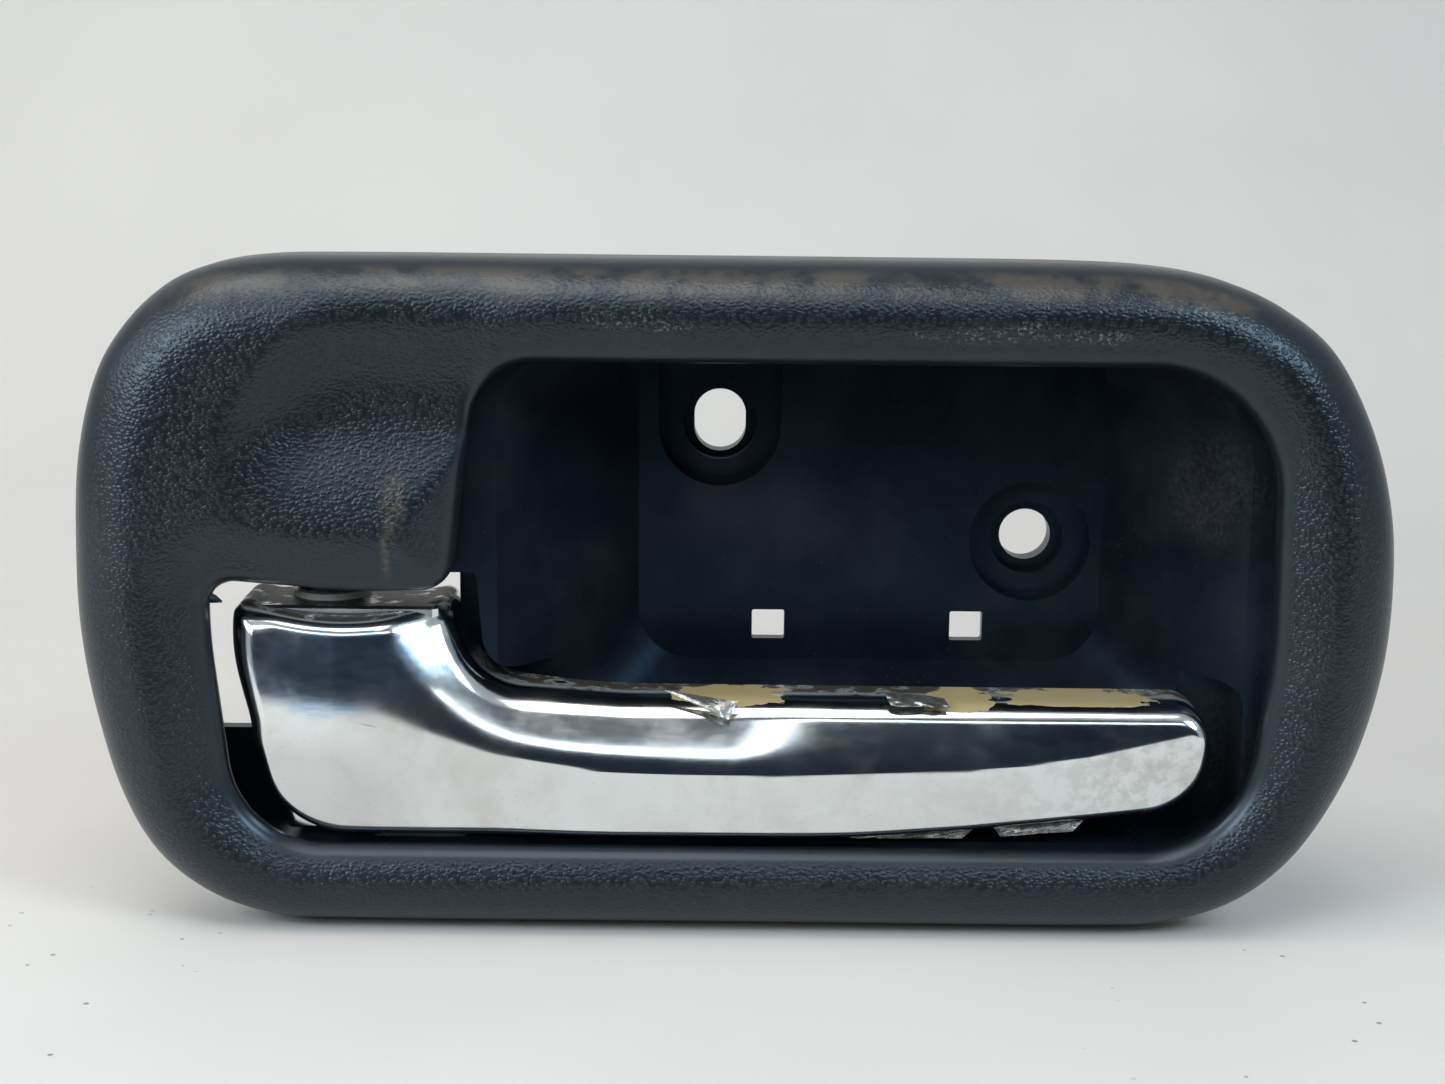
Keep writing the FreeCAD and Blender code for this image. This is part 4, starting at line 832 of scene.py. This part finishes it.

# %% [markdown]
# ### The pieces from the CAD model
# The cup, the pin and its ring, the spring, the bushes, the bumpers, the clip and the screws keep their
# CAD shapes. Each gets the finish its real material would have, never one flat colour, except that the
# cup's specular tint paints its reflections blue.

# %% Plain materials with wear
def worn(name, base, other, roughness, metallic=0.0, scale=300.0, dusty=0.3, relief=0.03,
         ior=1.5, tint=(1.0, 1.0, 1.0)):
    """A base colour that drifts to a second one, with dust, uneven gloss and fine relief."""
    material, recipe, shader, at = new_material(name)
    drift = recipe.ramp(recipe.noise(at, scale, 4.0), 0.35, 0.68)
    film = recipe.use(dust, position=at, amount=dusty, speck_size=0.0007)["Cover"]
    colour = recipe.mix(drift, base + (1,), other + (1,))
    colour = recipe.mix(film, colour, (0.30, 0.27, 0.23, 1))
    rough = recipe.math("ADD", recipe.blend(drift, roughness, roughness * 1.25),
                        recipe.math("MULTIPLY", film, 0.3))
    bump = recipe.node("ShaderNodeBump", {
        "Height": recipe.noise(at, scale * 8, 3.0), "Strength": 0.5, "Distance": relief * MM})
    wire(recipe, shader, base_color=colour, roughness=rough, normal=bump.outputs["Normal"],
         metallic=metallic, ior=ior, specular_tint=tint + (1,))
    return material


FINISHES = {
    # The cup's specular tint paints its reflections blue.
    "cup_plastic": worn("cup_plastic", (0.0045, 0.0065, 0.011), (0.007, 0.0095, 0.015), 0.27, dusty=0.07,
                        scale=90.0, ior=1.34, tint=(0.45, 0.80, 1.15)),
    "pin_steel": worn("pin_steel", (0.52, 0.52, 0.51), (0.40, 0.39, 0.37), 0.26, metallic=1.0),
    "ring_steel": worn("ring_steel", (0.12, 0.12, 0.13), (0.08, 0.08, 0.08), 0.42, metallic=1.0),
    "spring_steel": worn("spring_steel", (0.34, 0.34, 0.34), (0.24, 0.23, 0.22), 0.30, metallic=1.0),
    "bumper_rubber": worn("bumper_rubber", (0.022, 0.021, 0.020), (0.035, 0.033, 0.031), 0.78, dusty=0.4),
    "bush_acetal": worn("bush_acetal", (0.72, 0.70, 0.63), (0.64, 0.61, 0.53), 0.36, dusty=0.2),
    "clip_acetal": worn("clip_acetal", (0.05, 0.13, 0.30), (0.04, 0.10, 0.24), 0.38, dusty=0.2),
    "screw_zinc": worn("screw_zinc", (0.60, 0.58, 0.50), (0.48, 0.45, 0.38), 0.30, metallic=1.0)}

# %% [markdown]
# Fingers reach into the right end of the cup, and pale dirt settles in the corners that they leave. It
# is laid over the cup's finished colour.

# %% Dirt in the cup
recipe = Recipe(FINISHES["cup_plastic"].node_tree)
shader = recipe.tree.nodes["Principled BSDF"]
at = recipe.node("ShaderNodeTexCoord").outputs["Object"]
settled = patches(recipe, at, [(61.5, 2, 13.5, 5.5, 14, 6.5), (64.0, 2, -20, 3, 9, 7)],
                  ragged=0.7, tear=160.0, soft=0.5)
settled = recipe.math("MULTIPLY", settled, recipe.ramp(recipe.noise(at, 1600.0, 5.0, 0.7), 0.35, 0.75))
clean = shader.inputs["Base Color"].links[0].from_socket
settled = recipe.math("MULTIPLY", settled, 0.28)
wire(recipe, shader, base_color=recipe.mix(settled, clean, (0.10, 0.085, 0.062, 1)))

# %% Who wears what
WEARS = {
    "cup_housing": "cup_plastic", "pivot_pin": "pin_steel", "pin_retaining_ring": "ring_steel",
    "return_spring": "spring_steel", "rest_bumper": "bumper_rubber", "open_bumper": "bumper_rubber",
    "upper_bush": "bush_acetal", "lower_bush": "bush_acetal", "rod_clip": "clip_acetal",
    "housing_screw_upper_left": "screw_zinc", "housing_screw_upper_right": "screw_zinc",
    "housing_screw_lower_left": "screw_zinc", "housing_screw_lower_right": "screw_zinc"}
for node_name, finish in WEARS.items():
    mesh = frame["nodes"][node_name].data
    mesh.materials.clear()
    mesh.materials.append(FINISHES[finish])

# %% [markdown]
# ## The studio
# The handle stands on its lower rim on a white sweep. The bench runs out in front for a hand's length
# and the sweep rises behind. The paper is faintly warm, to balance the bluish light of the windows. A
# few dark flecks lie on it near the handle, one noise deciding where.

# %% Sweep
BENCH_GAP, SWEEP_HALF = 0.02, 420
SWEEP_PROFILE = [(-170, 0), (120, 0), (200, 6), (270, 30), (320, 80), (345, 160), (350, 420)]
bench = low[2] - BENCH_GAP
sweep_line = soft_curve(SWEEP_PROFILE, 160)
spread = np.linspace(-SWEEP_HALF, SWEEP_HALF, 24)
sweep_grid = np.stack(np.broadcast_arrays(spread[None], sweep_line[:, :1], sweep_line[:, 1:] + bench), -1)
sweep = grid_piece("sweep", sweep_grid, closed_u=False, sharp=80)
material, recipe, shader, at = new_material("sweep_paper")
tone = recipe.ramp(recipe.noise(at, 14.0, 3.0), 0.3, 0.7)
fleck = recipe.use(dust, position=at, amount=1.0, speck_size=0.0021)["Cover"]
where = recipe.node("ShaderNodeSeparateXYZ", {0: at}).outputs
near = recipe.math("MULTIPLY", recipe.ramp(where["Y"], 0.02, -0.03), recipe.ramp(
    recipe.math("ABSOLUTE", where["X"]), 0.03, 0.07))
speckled = recipe.math("MULTIPLY", recipe.math("GREATER_THAN", fleck, 0.6), near)
PAPER = (1.0, 0.918, 0.852)
colour = recipe.mix(tone, grey(0.71, PAPER), grey(0.673, PAPER))
colour = recipe.mix(recipe.math("MULTIPLY", speckled, 0.75), colour, grey(0.12))
wire(recipe, shader, base_color=colour, roughness=0.6)
sweep.data.materials.append(material)

# %% [markdown]
# ### Light
# A large soft lamp above lights the bench and the crown. Two bluish windows, left and right of the
# viewer, draw the edges of the frame, and a weak strip in front adds a thin sheen. A fill far to the
# left keeps that flank from going black.

# %% Lamps
def softbox(name, place, target, width, depth, power, colour):
    """A rectangular lamp at a place, aimed at a target, all in millimetres. Power is in watts."""
    lamp = bpy.data.lights.new(name, "AREA")
    lamp.shape = "RECTANGLE"
    lamp.size, lamp.size_y, lamp.energy, lamp.color = width * MM, depth * MM, power, colour
    made = bpy.data.objects.new(name, lamp)
    bpy.context.collection.objects.link(made)
    made.location = Vector(place) * MM
    made.rotation_euler = (Vector(target) - Vector(place)).to_track_quat("-Z", "Y").to_euler()


softbox("key_above", (-140, -200, 630), (0, 0, 0), 620, 380, 2.3, (1.0, 0.99, 0.965))
softbox("window_front", (-80, -500, 350), (0, 0, 0), 640, 75, 0.5, (0.82, 0.93, 1.0))
softbox("window_left", (-430, -390, 250), (0, 0, 10), 260, 300, 2.1, (0.80, 0.93, 1.0))
softbox("window_right", (400, -380, 380), (0, 0, 10), 200, 200, 1.9, (0.62, 0.84, 1.0))
softbox("fill_left", (-560, -100, 260), (0, 0, 10), 260, 300, 0.5, (0.85, 0.95, 1.0))

# %% [markdown]
# ### Room and camera
# Plating only looks like plating when it has something dark to mirror. A dim cone straight ahead of the
# lever stands for the viewer and the dark part of the room, and the rest is pale. The camera is a
# little above the handle and looks down at it, tipped slightly, as a hand-held camera is.

# %% Room
AHEAD, DIM_FROM, DIM_TO = (0.0, -0.985, 0.174), 0.66, 0.84
PALE_ROOM, DIM_ROOM, BACKGROUND = grey(0.40, (0.90, 1.0, 1.08)), grey(0.020, (0.55, 1.0, 1.6)), grey(0.74)
world = bpy.data.worlds.new("room")
bpy.context.scene.world = world
world.use_nodes = True
recipe = Recipe(world.node_tree)
backdrop = world.node_tree.nodes["Background"]
toward = recipe.node("ShaderNodeTexCoord").outputs["Generated"]
dim = recipe.ramp(recipe.vector("DOT_PRODUCT", toward, AHEAD), DIM_FROM, DIM_TO)
room = recipe.mix(dim, PALE_ROOM, DIM_ROOM)
seen = recipe.node("ShaderNodeLightPath").outputs["Is Camera Ray"]
recipe.feed(backdrop.inputs["Color"], recipe.mix(seen, room, BACKGROUND))
backdrop.inputs["Strength"].default_value = 1.0

# %% Camera
CAMERA_PLACE, CAMERA_TILT, CAMERA_ROLL = (-1.6, -289.33, 62.42), 11.0, 0.6
CAMERA_LENS, SENSOR_WIDTH, NEAREST = 57.3, 36.0, 0.01
tilt, roll = math.radians(CAMERA_TILT), math.radians(CAMERA_ROLL)
look = Vector((0, math.cos(tilt), -math.sin(tilt)))
right, up = Vector((1, 0, 0)), Vector((0, math.sin(tilt), math.cos(tilt)))
right, up = right * math.cos(roll) + up * math.sin(roll), up * math.cos(roll) - right * math.sin(roll)
camera = bpy.data.objects.new("camera", bpy.data.cameras.new("camera"))
bpy.context.collection.objects.link(camera)
camera.data.lens, camera.data.sensor_width, camera.data.clip_start = CAMERA_LENS, SENSOR_WIDTH, NEAREST
turned = Matrix((right, up, -look)).transposed().to_4x4()
camera.matrix_world = Matrix.Translation(Vector(CAMERA_PLACE) * MM) @ turned
bpy.context.scene.camera = camera
bpy.context.scene.view_settings.view_transform = "Standard"

# %% [markdown]
# ## Finish

# %% Finish
bpy.context.view_layer.update()
